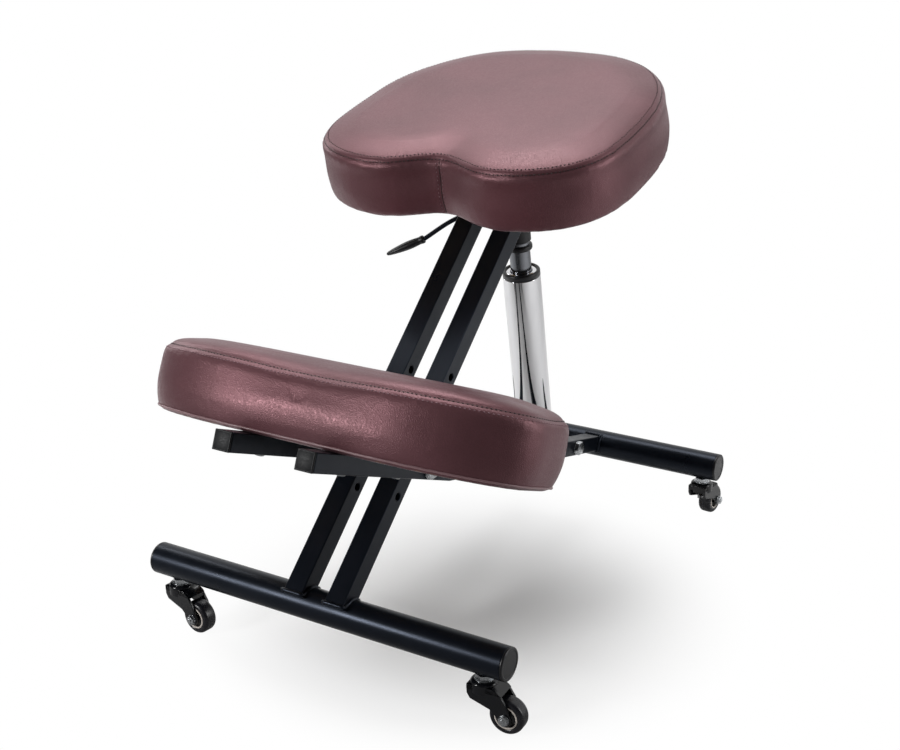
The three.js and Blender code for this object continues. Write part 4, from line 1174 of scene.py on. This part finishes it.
class CHAIR_OT_lever(bpy.types.Operator):
    """Makes the release lever with its paddle"""

    bl_idname = "chair.lever"
    bl_label = "Lever"

    def execute(self, context):
        sizes = context.scene.chair_lever
        bend = lever_spot(sizes.bend_out, sizes.bend_forward, sizes.bend_drop)
        collar = lever_spot(sizes.collar_out, sizes.collar_forward, sizes.collar_drop)
        tip = lever_spot(sizes.tip_out, sizes.tip_forward, sizes.tip_drop)
        straight = [lever_spot(sizes.root_out, 0, 0), lever_spot(sizes.straight_out, 0, 0)]
        rod = swept(curve_through([*straight, bend, collar], 10), sizes.rod_radius, sides=24)
        tongue = bmesh.new()
        low, high = -17 * MM, 2 * MM
        middle = Matrix.Translation(((low + high) / 2, 0, context.scene.chair_lift.lever_height))
        add_box(tongue, (high - low, 6 * MM, 5 * MM), lift_place @ middle)
        piece("lever_shank", merged(rod, tongue), LEVER_COAT, "lever", ["lever_rod"], edge=0.5 * MM)

        # Along the paddle: share of its length, width and thickness.
        neck = ((0, 0.7, 0.8), (0.02, 0.8, 0.92), (0.07, 0.82, 0.94), (0.11, 0.72, 0.82), (0.17, 0.78, 0.86))
        blade = ((0.32, 1, 1), (0.52, 1.12, 0.94), (0.74, 1.08, 0.74), (0.9, 0.84, 0.52), (0.985, 0.5, 0.34))
        grip = bmesh.new()
        rings = []
        for share, width, thick in neck + blade:
            ring = bmesh.ops.create_circle(grip, segments=24, radius=0.5)["verts"]
            size = Matrix.Diagonal((sizes.paddle_thickness * thick, sizes.paddle_width * width, 1, 1))
            level = Matrix.Translation((0, 0, (tip - collar).length * share))
            bmesh.ops.transform(grip, verts=ring, matrix=level @ size)
            rings.append(ring)
        skinned(grip, rings)
        grip.transform(aim(collar, tip - collar, UP))
        piece("lever_grip", grip, PLASTIC, "lever", ["lever_paddle"], smooth=2)
        return {"FINISHED"}


# Casters


def caster_frame(name):
    """The floor point under a caster's stem, with X towards the axle and Y along it."""
    stem = joint_place(f"swivel_{name}")
    axle = joint_place(f"roll_{name}")
    trail = Vector((axle.x - stem.x, axle.y - stem.y, 0)).normalized()
    return placed((stem.x, stem.y, 0), trail, UP.cross(trail), UP)


def fork_cheek(sizes):
    """Side outline of a fork as (x, z) points: skirt, arm and boss."""
    head, top = sizes.head_radius, sizes.fork_top
    boss, trail, axle = sizes.boss_radius, sizes.trail, sizes.wheel_radius
    outline = [(-head, top - 3 * MM), (-head + 0.4 * MM, top - 14 * MM), (-head + 4 * MM, top - 20 * MM)]
    outline += [(trail - boss - 9 * MM, axle + 8 * MM), (trail - boss - 2.5 * MM, axle + 2 * MM)]
    outline += arc((trail, axle), boss, 190, 370, 18)
    outline += [(trail + 5 * MM, axle + 8 * MM), (trail + 2 * MM, axle + 16 * MM)]
    outline += [(trail - 2 * MM, axle + 22 * MM), (trail - 6 * MM, top - 7 * MM), (head, top - 3 * MM)]
    return outline


class CHAIR_OT_casters(bpy.types.Operator):
    """Makes the four swivel casters"""

    bl_idname = "chair.casters"
    bl_label = "Casters"

    def execute(self, context):
        sizes = context.scene.chair_casters
        for end, body in ENDS.items():
            for side in SIDES:
                name = f"{end}_{side}"
                place = caster_frame(name)
                axle = place @ Matrix.Translation((sizes.trail, 0, sizes.wheel_radius))
                self.stem(sizes, end, name, place, body)
                self.fork(sizes, name, place)
                self.axle(sizes, name, axle)
                self.wheel(sizes, name, axle @ Matrix.Rotation(QUARTER, 4, "X"))
        return {"FINISHED"}

    def stem(self, sizes, end, name, place, body):
        """The threaded stem with its nut and a washer in the nut's top."""
        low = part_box(f"caster_stem_{name}")[0].z
        top = crossbar_axle(end).z - crossbar_radius(end) - 0.3 * MM
        nut = hexagon(sizes.stem_flats, sizes.fork_top + 0.6 * MM, top, place)
        pin = turned(band(0, 4 * MM, low, top + 6 * MM), place, steps=32)
        washer = turned(band(0, 10.5 * MM, top - 6.2 * MM, top - 5.2 * MM), place, steps=48)
        whole = merged(nut, pin, washer)
        piece(f"stem_nut_{name}", whole, ZINC, body, [f"caster_stem_{name}"], edge=0.25 * MM)

    def fork(self, sizes, name, place):
        """The fork: two cheeks, a roof over the wheel and a round head."""
        half = sizes.fork_width / 2
        gap = sizes.wheel_width / 2 + 0.6 * MM
        cheeks = [side_plate(fork_cheek(sizes), *span, place) for span in ((-half, -gap), (gap, half))]
        head, top = sizes.head_radius, sizes.fork_top
        roof_bottom = top - sizes.fork_roof
        roof = [(-head, roof_bottom), (sizes.trail - 3 * MM, roof_bottom)]
        roof += [(sizes.trail - 6.5 * MM, top - 7 * MM), (head, top - 3 * MM), (-head, top - 3 * MM)]
        dome = [(head, roof_bottom - 3 * MM), *arc((head - 3 * MM, top - 3 * MM), 3 * MM, 0, 75, 5)]
        dome += [(head - 5.2 * MM, top), (head - 5.8 * MM, top - 1.4 * MM), (4.6 * MM, top - 1.4 * MM)]
        dome += [(4.6 * MM, roof_bottom)]
        round_head = turned(dome, place, steps=64, closed=True)
        fork = merged(*cheeks, side_plate(roof, -half, half, place), round_head)
        replaced = [f"caster_fork_{name}"]
        piece(f"fork_{name}", fork, FORK, f"caster_{name}", replaced, edge=1.1 * MM, segments=3)

    def axle(self, sizes, name, axle):
        """The axle bolt: a nut, a washer and a stud on each side of the fork."""
        half = sizes.fork_width / 2
        high = sizes.nut_height
        stud = [(0, -half), (3 * MM, -half), (3 * MM, high + 0.6 * MM), (2.4 * MM, high + 1.1 * MM)]
        stud += [(0, high + 1.1 * MM)]
        ends = []
        for way in (1, -1):
            outward = axle @ Matrix.Rotation(-way * QUARTER, 4, "X")
            outward = outward @ Matrix.Translation((0, 0, half + 0.2 * MM))
            ends.append(hexagon(sizes.nut_flats, 0, high - 0.4 * MM, outward, chamfer=0.4 * MM))
            ends.append(turned(band(0, 6 * MM, 0, 0.6 * MM), outward, steps=40))
            ends.append(turned(stud, outward, steps=32))
        piece(f"axle_{name}", merged(*ends), ZINC, f"caster_{name}", [f"caster_axle_{name}"], edge=0.2 * MM)

    def wheel(self, sizes, name, spin):
        """The wheel: tread, pale rings and hub."""
        body = f"wheel_{name}"
        wide = sizes.wheel_width / 2
        hub, ring = sizes.hub_radius, sizes.ring_width
        corner = 4.5 * MM
        rim = sizes.wheel_radius - corner
        tread = [(hub, -wide + 0.8 * MM), *arc((rim, -wide + corner), corner, -90, 0, 6)]
        tread += [*arc((rim, wide - corner), corner, 0, 90, 6), (hub, wide - 0.8 * MM)]
        tread = turned(tread, spin, steps=72, closed=True)
        piece(f"tread_{name}", tread, TYRE, body, [f"caster_tyre_{name}"])
        for label, face in (("inner", -1), ("outer", 1)):
            profile = [(hub - ring, 2.6 * MM), (hub, 2.6 * MM), (hub, 0.4 * MM), (hub - 0.5 * MM, 0)]
            profile += [(hub - ring + 0.3 * MM, 0), (hub - ring, 0.3 * MM)]
            profile = [(radius, face * wide - face * depth) for radius, depth in profile]
            piece(f"hub_ring_{label}_{name}", turned(profile, spin, steps=72, closed=True), HUB_RING, body)
        half = [(3.4 * MM, wide), (6 * MM, wide), (7 * MM, wide - 2.4 * MM), (hub - ring, wide - 2.4 * MM)]
        half += [(hub - 0.1 * MM, wide - 2.8 * MM)]
        core = [(radius, -level) for radius, level in half] + half[::-1]
        core = turned(core, spin, steps=72, closed=True)
        piece(f"hub_core_{name}", core, HUB, body, [f"caster_hub_{name}"])


# Cushions


def upward_normal(node):
    """The upward normal of a flat node's largest faces."""
    sums = {}
    for polygon in frame["nodes"][node].data.polygons:
        normal = polygon.normal if polygon.normal.z > 0 else -polygon.normal
        key = tuple(round(part, 2) for part in normal)
        total, area = sums.get(key, (Vector(), 0.0))
        sums[key] = (total + normal * polygon.area, area + polygon.area)
    total, _ = max(sums.values(), key=lambda item: item[1])
    return total.normalized()


def cushion_frame(name, form):
    """Upward normal, origin and place of a cushion: its outline's middle on its underside."""
    up = upward_normal(f"{name}_board")
    back = up.cross(X_WAY)
    points = [vertex.co for vertex in frame["nodes"][f"{name}_cover"].data.vertices]
    bottom = min(point.dot(up) for point in points)
    rear = max(point.dot(back) for point in points)
    low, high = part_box(f"{name}_cover")
    origin = X_WAY * (low.x + high.x) / 2 + back * (rear - form.back) + up * bottom
    return up, origin, placed(origin, X_WAY, back, up)


def seat_frame():
    """Upward normal and origin of the seat."""
    return cushion_frame("seat", bpy.context.scene.chair_seat)[:2]


def outline_point(form, turn, inset):
    """A point of a cushion's outline, by its angle from the back."""
    forward = math.cos(turn) < 0
    reach = form.front if forward else form.back
    power = form.front_round if forward else form.back_round
    across = abs(math.sin(turn)) / form.half_width
    deep = abs(math.cos(turn)) / reach
    radius = (across**power + deep**power) ** (-1 / power) - inset
    x, y = radius * math.sin(turn), radius * math.cos(turn)
    notch = form.notch_depth * math.exp(-((x / form.notch_width) ** 2))
    return Vector((x, y + notch if forward else y, 0))


def even_turns(form, count):
    """Angles of points that lie evenly along the outline."""
    fine = count * 12
    lengths = [0.0]
    for step in range(1, fine + 1):
        ahead = outline_point(form, math.tau * step / fine, 0)
        behind = outline_point(form, math.tau * (step - 1) / fine, 0)
        lengths.append(lengths[-1] + (ahead - behind).length)
    turns = []
    step = 0
    for index in range(count):
        while lengths[step] < lengths[-1] * index / count:
            step += 1
        turns.append(math.tau * step / fine)
    return turns


def ring_path(form, inset, height, count):
    """Points that lie evenly round a cushion, at an inset and a height."""
    return [outline_point(form, turn, inset) + Vector((0, 0, height)) for turn in even_turns(form, count)]


def cushion_rings(form, sewing):
    """Rings of (inset, height) from the hollow under the board round to the middle of the top."""
    seam, crown, foot = form.seam_height, form.crown, form.bottom_inset
    room, hem, shoulder = sewing.swell_room, foot + sewing.hem, form.shoulder
    underside = [(hem + 30 * MM, sewing.board_room), (hem, sewing.board_room), (hem, 0), (foot + 6 * MM, 0)]
    wall = [
        (foot + 1.5 * MM, 1.2 * MM),
        (foot * 0.8, seam * 0.08),
        (foot * 0.4 + room * 0.6, seam * 0.2),
        (room, seam * 0.38),
        (room, seam * 0.6),
        (room + 0.2 * MM, seam * 0.78),
        (shoulder * 0.36, seam - 8 * MM),
        (shoulder * 0.68, seam - 3.4 * MM),
        (shoulder + 0.6 * MM, seam),
    ]
    top = [
        (shoulder + 4 * MM, seam + crown * 0.2),
        (shoulder + 9 * MM, seam + crown * 0.37),
        (22 * MM, seam + crown * 0.52),
        (36 * MM, seam + crown * 0.64),
        (60 * MM, seam + crown * 0.72),
    ]
    return underside + wall + top


def padded_blank(form, sewing):
    """The closed plain form of a cushion in its own plane, as rings that are drawn out one by one."""
    count = 160
    turns = even_turns(form, count)
    bm = bmesh.new()
    rings = []
    for inset, height in cushion_rings(form, sewing):
        ring = bmesh.ops.create_circle(bm, segments=count, radius=1)["verts"]
        for vert, turn in zip(ring, turns):
            vert.co = outline_point(form, turn, inset) + Vector((0, 0, height))
        rings.append(ring)
    return skinned(bm, rings)


def applied(made):
    """Gives an object the mesh that its modifiers make, and takes them off."""
    graph = bpy.context.evaluated_depsgraph_get()
    mesh = bpy.data.meshes.new_from_object(made.evaluated_get(graph))
    made.modifiers.clear()
    made.data = mesh
    return mesh


def swelled(name, blank, sewing, held):
    """The blank remeshed to an even grid and blown up by its padding. The points that held names stay."""
    made = new_object(name, blank)
    bpy.context.view_layer.objects.active = made
    grid = made.modifiers.new("grid", "REMESH")
    grid.mode = "VOXEL"
    grid.voxel_size = sewing.grid
    rest = [vertex.co.copy() for vertex in applied(made).vertices]
    pins = made.vertex_groups.new(name="pins")
    pins.add([index for index, point in enumerate(rest) if held(point)], 1.0, "REPLACE")
    cloth = made.modifiers.new("padding", "CLOTH")
    cloth.settings.vertex_group_mass = "pins"
    cloth.settings.use_pressure = True
    cloth.settings.uniform_pressure_force = sewing.pressure
    cloth.settings.tension_stiffness = 25
    cloth.settings.compression_stiffness = 25
    cloth.settings.shear_stiffness = 15
    cloth.settings.bending_stiffness = 4
    cloth.settings.effector_weights.gravity = 0
    cloth.point_cache.frame_start = 1
    cloth.point_cache.frame_end = sewing.steps
    for number in range(1, sewing.steps + 1):
        bpy.context.scene.frame_set(number)
    graph = bpy.context.evaluated_depsgraph_get()
    moved = [vertex.co.copy() for vertex in made.evaluated_get(graph).data.vertices]
    made.modifiers.clear()
    bpy.context.scene.frame_set(1)
    shifts = np.array(moved) - np.array(rest)
    sizes = np.linalg.norm(shifts, axis=1, keepdims=True)
    shifts *= np.minimum(1.0, sewing.swell / np.maximum(sizes, 1e-9))
    shifts = drawn_tight(made.data, shifts, sewing.tightness)
    for vertex, start, shift in zip(made.data.vertices, rest, shifts):
        vertex.co = start + Vector(shift)
    return made


def drawn_tight(mesh, shifts, rounds):
    """Evens out the swell from point to point, as a tightly drawn cover does with its wrinkles."""
    ends = np.array([edge.vertices for edge in mesh.edges])
    count = np.bincount(ends.ravel(), minlength=len(shifts))[:, None]
    for _ in range(rounds):
        total = np.zeros_like(shifts)
        np.add.at(total, ends[:, 0], shifts[ends[:, 1]])
        np.add.at(total, ends[:, 1], shifts[ends[:, 0]])
        shifts = shifts * 0.4 + total / count * 0.6
    return shifts


def side_inset(form, height):
    """How far in from the outline the side of the solid cushion lies at a height up to the seam."""
    seam, foot = form.seam_height, form.bottom_inset
    heights = [0, seam * 0.2, seam * 0.6, seam * 0.88, seam]
    return float(np.interp(height, heights, [foot, foot * 0.4, 0, 1 * MM, 5 * MM]))


def kept_inside(form, mesh, soft):
    """Eases the sides that the padding pushed out back inside the solid cushion's outline."""
    for vertex in mesh.vertices:
        x, y, height = vertex.co
        if not 6 * MM < height <= form.seam_height:
            continue
        reach = math.hypot(x, y)
        edge = outline_point(form, math.atan2(x, y), side_inset(form, height)).length - 0.4 * MM
        past = reach - edge + soft
        if past > 0:
            share = (edge - soft * math.exp(-past / soft)) / reach
            vertex.co.x *= share
            vertex.co.y *= share


def surface_tree(mesh):
    return BVHTree.FromPolygons([v.co for v in mesh.vertices], [p.vertices for p in mesh.polygons])


def on_surface(tree, point):
    """The nearest point of a surface, and its normal."""
    spot, normal, _, _ = tree.find_nearest(point)
    return spot, normal


def drawn_on(tree, path):
    """A path moved to the nearest points of a surface."""
    return [on_surface(tree, point)[0] for point in path]


def stitch_row(path, tree, offset, sewing, closed=True):
    """Short rounded stitches along a path on a surface, moved across it by an offset."""
    count = len(path)
    spots = []
    for index, point in enumerate(path):
        ahead = path[(index + 1) % count] if closed or index < count - 1 else point
        behind = path[index - 1] if closed or index else point
        way = (ahead - behind).normalized()
        spot, normal = on_surface(tree, point)
        across = normal.cross(way).normalized()
        spots.append(on_surface(tree, spot + across * offset) if offset else (spot, normal))
    lengths = [0.0]
    for index in range(1, count + (1 if closed else 0)):
        lengths.append(lengths[-1] + (spots[index % count][0] - spots[index - 1][0]).length)
    total = lengths[-1]
    number = int(total / sewing.stitch_pitch)
    radius = sewing.thread_radius
    size = Matrix.Diagonal((radius, radius * 1.25, sewing.stitch_length / 2, 1))
    bm = bmesh.new()
    step = 0
    for stitch in range(number):
        wanted = total * (stitch + 0.5) / number
        while lengths[step + 1] < wanted:
            step += 1
        share = (wanted - lengths[step]) / max(lengths[step + 1] - lengths[step], 1e-9)
        (start, normal), (end, _) = spots[step], spots[(step + 1) % count]
        middle = start.lerp(end, share) + normal * radius * 0.35
        bead = bmesh.ops.create_icosphere(bm, subdivisions=1, radius=1)["verts"]
        bmesh.ops.transform(bm, verts=bead, matrix=aim(middle, end - start, normal) @ size)
    return bm


def sew(mesh, paths, sewing):
    """Draws the surface in along the seams and keeps each point's distance to the nearest seam."""
    points = [point for path in paths for point in path]
    near = KDTree(len(points))
    for index, point in enumerate(points):
        near.insert(point, index)
    near.balance()
    normals = [vertex.normal.copy() for vertex in mesh.vertices]
    gap = mesh.attributes.new("seam_gap", "FLOAT", "POINT")
    for index, vertex in enumerate(mesh.vertices):
        distance = near.find(vertex.co)[2]
        gap.data[index].value = distance
        depth = sewing.groove * math.exp(-((distance / sewing.groove_width) ** 2))
        vertex.co -= normals[index] * depth
    mesh.update()


def make_cushion(name, form, body, slot, front_seam):
    """The padded cover of a cushion with its seams and stitches. Gives its sewn surface and its place."""
    sewing = bpy.context.scene.chair_sewing
    place = cushion_frame(name, form)[2]

    def held(point):
        """The hem and the hollow under the board don't swell."""
        edge = outline_point(form, math.atan2(point.x, point.y), 0)
        share = math.hypot(point.x, point.y) / max(math.hypot(edge.x, edge.y), 1e-9)
        return point.z < 6 * MM or point.z < sewing.board_room + 1 * MM and share < 0.86

    made = swelled(f"{name}_upholstery", padded_blank(form, sewing), sewing, held)
    kept_inside(form, made.data, sewing.ease)
    finer = made.modifiers.new("finer", "SUBSURF")
    finer.levels = 1
    finer.render_levels = 1
    fine = surface_tree(applied(made))
    around = drawn_on(fine, ring_path(form, form.shoulder * 1.1, form.seam_height + 1.5 * MM, 900))
    paths = [around]
    if front_seam:
        top = min(around, key=lambda point: abs(point.x) + (1 if point.y > 0 else 0))
        steps = 60
        heights = [top.z * (1 - step / steps) + 3 * MM for step in range(3, steps)]
        paths.append(drawn_on(fine, [Vector((top.x, top.y - 4 * MM, height)) for height in heights]))
    sew(made.data, paths, sewing)
    sewn = surface_tree(made.data)
    dark = [stitch_row(around, sewn, 0.0, sewing)]
    second = stitch_row(around, sewn, form.stitch_offset, sewing)
    if front_seam:
        # The rod swept down the front seam is painted shade, in the dark thread's colour.
        dark += [second, swept(drawn_on(sewn, paths[1]), sewing.seam_shade_rod_radius, sides=6)]
        pale = [stitch_row(paths[1], sewn, offset, sewing, closed=False) for offset in (-3.5 * MM, 3.5 * MM)]
    else:
        pale = [second]
    smooth_with(made, leatherette())
    made.data.transform(place)
    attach(made, body)
    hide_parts(f"{name}_cover", f"{name}_foam")
    # The seat's seam stitches also hold the painted shade rod of its front seam.
    for label, meshes, material in (("seam", dark, dark_thread_and_seam_shade), ("top", pale, pale_thread)):
        thread = merged(*meshes)
        thread.transform(place)
        piece(f"{name}_{label}_stitches", thread, (material, slot), body)
    return sewn, place


def make_underside(name, form, place, body):
    """The board in the bottom of a cushion, and the staples that hold the turned-in cover on it."""
    sewing = bpy.context.scene.chair_sewing
    path = ring_path(form, form.bottom_inset + sewing.hem - 6 * MM, 0, 72)
    bm = bmesh.new()
    for index, point in enumerate(path):
        way = (path[(index + 1) % len(path)] - path[index - 1]).normalized()
        spot = aim(point - UP * 0.1 * MM, way, (way.y, -way.x, 0))
        add_box(bm, (0.9 * MM, 0.5 * MM, 11 * MM), spot)
    bm.transform(place)
    piece(f"{name}_staples", bm, ZINC, body)
    outline = ring_path(form, form.bottom_inset + sewing.board_inset, sewing.cover, 96)
    board = drawn_out(outline, (0, 0, sewing.board), place)
    piece(f"{name}_plywood", board, PLYWOOD, body, [f"{name}_board"], edge=0.5 * MM)


class CHAIR_OT_seat(bpy.types.Operator):
    """Makes the upholstered seat"""

    bl_idname = "chair.seat"
    bl_label = "Seat"

    def execute(self, context):
        form = context.scene.chair_seat
        place = make_cushion("seat", form, "front_frame", "seat_leatherette", True)[1]
        make_underside("seat", form, place, "front_frame")
        return {"FINISHED"}


class CHAIR_OT_knee_pad(bpy.types.Operator):
    """Makes the upholstered knee pad with its piping"""

    bl_idname = "chair.knee_pad"
    bl_label = "Knee Pad"

    def execute(self, context):
        form = context.scene.chair_knee
        radius = context.scene.chair_sewing.piping_radius
        sewn, place = make_cushion("knee", form, "rear_frame", "knee_leatherette", False)
        path = []
        for point in ring_path(form, form.bottom_inset * 0.72, 3 * MM, 400):
            spot, normal = on_surface(sewn, point)
            path.append(spot + normal * radius * 0.35)
        piping = swept(path, radius, closed=True)
        piping.transform(place)
        piece("knee_piping", piping, (piping_material, "knee_leatherette"), "rear_frame")
        make_underside("knee", form, place, "rear_frame")
        return {"FINISHED"}


# Stage


class CHAIR_OT_stage(bpy.types.Operator):
    """Makes the floor, the lights, the world and the camera"""

    bl_idname = "chair.stage"
    bl_label = "Stage"

    def execute(self, context):
        scene = context.scene
        middle = (crossbar_axle("front") + crossbar_axle("rear")) / 2
        middle.z = 0
        self.floor(scene, middle)
        self.world(scene)
        self.lights(scene, middle)
        self.camera(scene, middle)
        scene.view_settings.view_transform = "Standard"
        return {"FINISHED"}

    def floor(self, scene, middle):
        """A pale floor. It keeps the shadow under the chair, and the camera sees it fade to white around."""
        bm = bmesh.new()
        bmesh.ops.create_circle(bm, cap_ends=True, segments=96, radius=6, matrix=Matrix.Translation(middle))
        floor = new_object("floor", bm)
        material = bpy.data.materials.new("studio_floor")
        tree = empty_tree(material)
        place = add_node(tree, "ShaderNodeTexCoord").outputs["Object"]
        rays = add_node(tree, "ShaderNodeLightPath").outputs
        shaded = middle + Vector((0.05, -0.07, 0))
        away = add_node(tree, "ShaderNodeVectorMath", {0: place, 1: shaded}, operation="DISTANCE")
        reach = {"From Min": 0.05, "From Max": 0.36, "To Min": 0.0, "To Max": 1.0}
        fade = add_node(
            tree,
            "ShaderNodeMapRange",
            {"Value": away.outputs["Value"], **reach},
            interpolation_type="SMOOTHSTEP",
        )
        # The chair's gloss sees a floor that is dull in front of it, as if it stood at the edge of a sheet.
        parts = add_node(tree, "ShaderNodeSeparateXYZ", {"Vector": place})
        front = add_node(
            tree,
            "ShaderNodeMapRange",
            {"Value": parts.outputs["Y"], "From Min": -0.6, "From Max": 0.1, "To Min": 0.75, "To Max": 0.0},
            interpolation_type="SMOOTHSTEP",
        )
        dull = add_node(
            tree,
            "ShaderNodeMath",
            {0: rays["Is Glossy Ray"], 1: front.outputs["Result"]},
            operation="MULTIPLY",
        )
        # Light that bounces off the floor is dimmed, so that the undersides stay dark.
        bounced = add_node(
            tree,
            "ShaderNodeMath",
            {0: rays["Is Diffuse Ray"], 1: 0.45, 2: dull.outputs[0]},
            operation="MULTIPLY_ADD",
            use_clamp=True,
        )
        tone = scene.chair_colours.floor
        tones = add_node(
            tree,
            "ShaderNodeMix",
            {"Factor": bounced.outputs[0], "A": tone, "B": shade_of(tone, 0.05)},
            data_type="RGBA",
        )
        paint = add_node(tree, "ShaderNodeBsdfDiffuse", {"Color": tones.outputs["Result"]})
        white = add_node(tree, "ShaderNodeEmission", {"Color": (1, 1, 1, 1), "Strength": 1.0})
        share = add_node(
            tree,
            "ShaderNodeMath",
            {0: rays["Is Camera Ray"], 1: fade.outputs["Result"]},
            operation="MULTIPLY",
        )
        mix = add_node(
            tree, "ShaderNodeMixShader", {0: share.outputs[0], 1: paint.outputs[0], 2: white.outputs[0]}
        )
        add_node(tree, "ShaderNodeOutputMaterial", {"Surface": mix.outputs[0]})
        floor.data.materials.append(material)

    def world(self, scene):
        """White to the camera, dim for ambient light, and a studio of its own for reflections."""
        world = bpy.data.worlds.new("studio")
        tree = empty_tree(world)
        rays = add_node(tree, "ShaderNodeLightPath").outputs
        seen = add_node(
            tree,
            "ShaderNodeMath",
            {0: rays["Is Camera Ray"], 1: rays["Is Transmission Ray"]},
            operation="MAXIMUM",
        )
        # Reflections see a bright studio above and behind the chair, and a dark one in front of it.
        way = add_node(tree, "ShaderNodeTexCoord").outputs["Generated"]
        bright = (0.0, 0.95, 0.3)
        height = add_node(tree, "ShaderNodeVectorMath", {0: way, 1: bright}, operation="DOT_PRODUCT")
        reach = {"From Min": 0.05, "From Max": 0.75, "To Min": 0.06, "To Max": 0.9}
        shade = add_node(
            tree,
            "ShaderNodeMapRange",
            {"Value": height.outputs["Value"], **reach},
            interpolation_type="SMOOTHSTEP",
        )
        ambient, mirror, white = (
            add_node(tree, "ShaderNodeBackground", {"Color": (1, 1, 1, 1), "Strength": strength}).outputs[0]
            for strength in (0.15, shade.outputs["Result"], 1.0)
        )
        glossy = add_node(tree, "ShaderNodeMixShader", {0: rays["Is Glossy Ray"], 1: ambient, 2: mirror})
        both = add_node(tree, "ShaderNodeMixShader", {0: seen.outputs[0], 1: glossy.outputs[0], 2: white})
        add_node(tree, "ShaderNodeOutputWorld", {"Surface": both.outputs[0]})
        scene.world = world

    def lights(self, scene, middle):
        """Soft area lights as (name, place, size in metres, power in watts)."""
        lamps = (
            ("overhead", (-0.5, 0.4, 2.2), (1.3, 1.2), 28),
            ("front_softbox", (-1.1, -1.9, 0.85), (0.45, 0.45), 23),
            ("left_bank", (-1.9, 0.3, 1.2), (0.4, 1.6), 8),
            ("right_bank", (1.8, 0.5, 0.85), (0.5, 1.2), 12),
        )
        target = middle + Vector((0, 0, 0.3))
        for name, spot, size, power in lamps:
            lamp = bpy.data.lights.new(name, "AREA")
            lamp.shape = "RECTANGLE"
            lamp.size, lamp.size_y = size
            lamp.energy = power
            made = bpy.data.objects.new(name, lamp)
            place = middle + Vector(spot)
            turn = (target - place).to_track_quat("-Z", "Y").to_matrix().to_4x4()
            made.matrix_world = Matrix.Translation(place) @ turn
            scene.collection.objects.link(made)

    def camera(self, scene, middle):
        """The photograph's camera, from the two crossbars' ends and lengths seen in it."""
        turn, rise, roll = math.radians(31.523), math.radians(19.343), math.radians(-0.483)
        spot = middle + Vector((0.8353, -1.3811, 0.8321))
        back = Vector((math.sin(turn) * math.cos(rise), -math.cos(turn) * math.cos(rise), math.sin(rise)))
        right = Vector((math.cos(turn), math.sin(turn), 0))
        up = back.cross(right)
        right, up = right * math.cos(roll) + up * math.sin(roll), up * math.cos(roll) - right * math.sin(roll)
        data = bpy.data.cameras.new("camera")
        data.sensor_width = 36.0
        data.lens = 54.72
        made = bpy.data.objects.new("camera", data)
        made.matrix_world = placed(spot, right, up, back)
        scene.collection.objects.link(made)
        scene.camera = made


OPERATORS = (
    CHAIR_OT_crossbars,
    CHAIR_OT_seat_bars,
    CHAIR_OT_knee_bars,
    CHAIR_OT_pivots,
    CHAIR_OT_bracket,
    CHAIR_OT_gas_lift,
    CHAIR_OT_lever,
    CHAIR_OT_casters,
    CHAIR_OT_seat,
    CHAIR_OT_knee_pad,
    CHAIR_OT_stage,
)

GROUPS = {
    "chair_frame": ChairFrameSizes,
    "chair_fasteners": ChairFastenerSizes,
    "chair_lift": ChairLiftSizes,
    "chair_lever": ChairLeverSizes,
    "chair_casters": ChairCasterSizes,
    "chair_seat": ChairSeatSizes,
    "chair_knee": ChairKneeSizes,
    "chair_sewing": ChairSewingSizes,
    "chair_colours": ChairColours,
}


class CHAIR_PT_panel(bpy.types.Panel):
    """Lists the chair's pieces and its sizes"""

    bl_label = "Kneeling Chair"
    bl_idname = "CHAIR_PT_panel"
    bl_space_type = "VIEW_3D"
    bl_region_type = "UI"
    bl_category = "Chair"

    def draw(self, context):
        for operator in OPERATORS:
            self.layout.operator(operator.bl_idname)
        for name, group in GROUPS.items():
            sizes = getattr(context.scene, name)
            column = self.layout.column(align=True)
            column.label(text=group.__doc__.strip())
            for prop in group.__annotations__:
                column.prop(sizes, prop)


def register():
    for group in (*GROUPS.values(), *OPERATORS, CHAIR_PT_panel):
        bpy.utils.register_class(group)
    for name, group in GROUPS.items():
        setattr(bpy.types.Scene, name, PointerProperty(type=group))


def unregister():
    for name in GROUPS:
        delattr(bpy.types.Scene, name)
    for group in reversed((*GROUPS.values(), *OPERATORS, CHAIR_PT_panel)):
        bpy.utils.unregister_class(group)


def main():
    register()
    for operator in OPERATORS:
        category, name = operator.bl_idname.split(".")
        getattr(getattr(bpy.ops, category), name)()


if __name__ == "__main__":
    main()
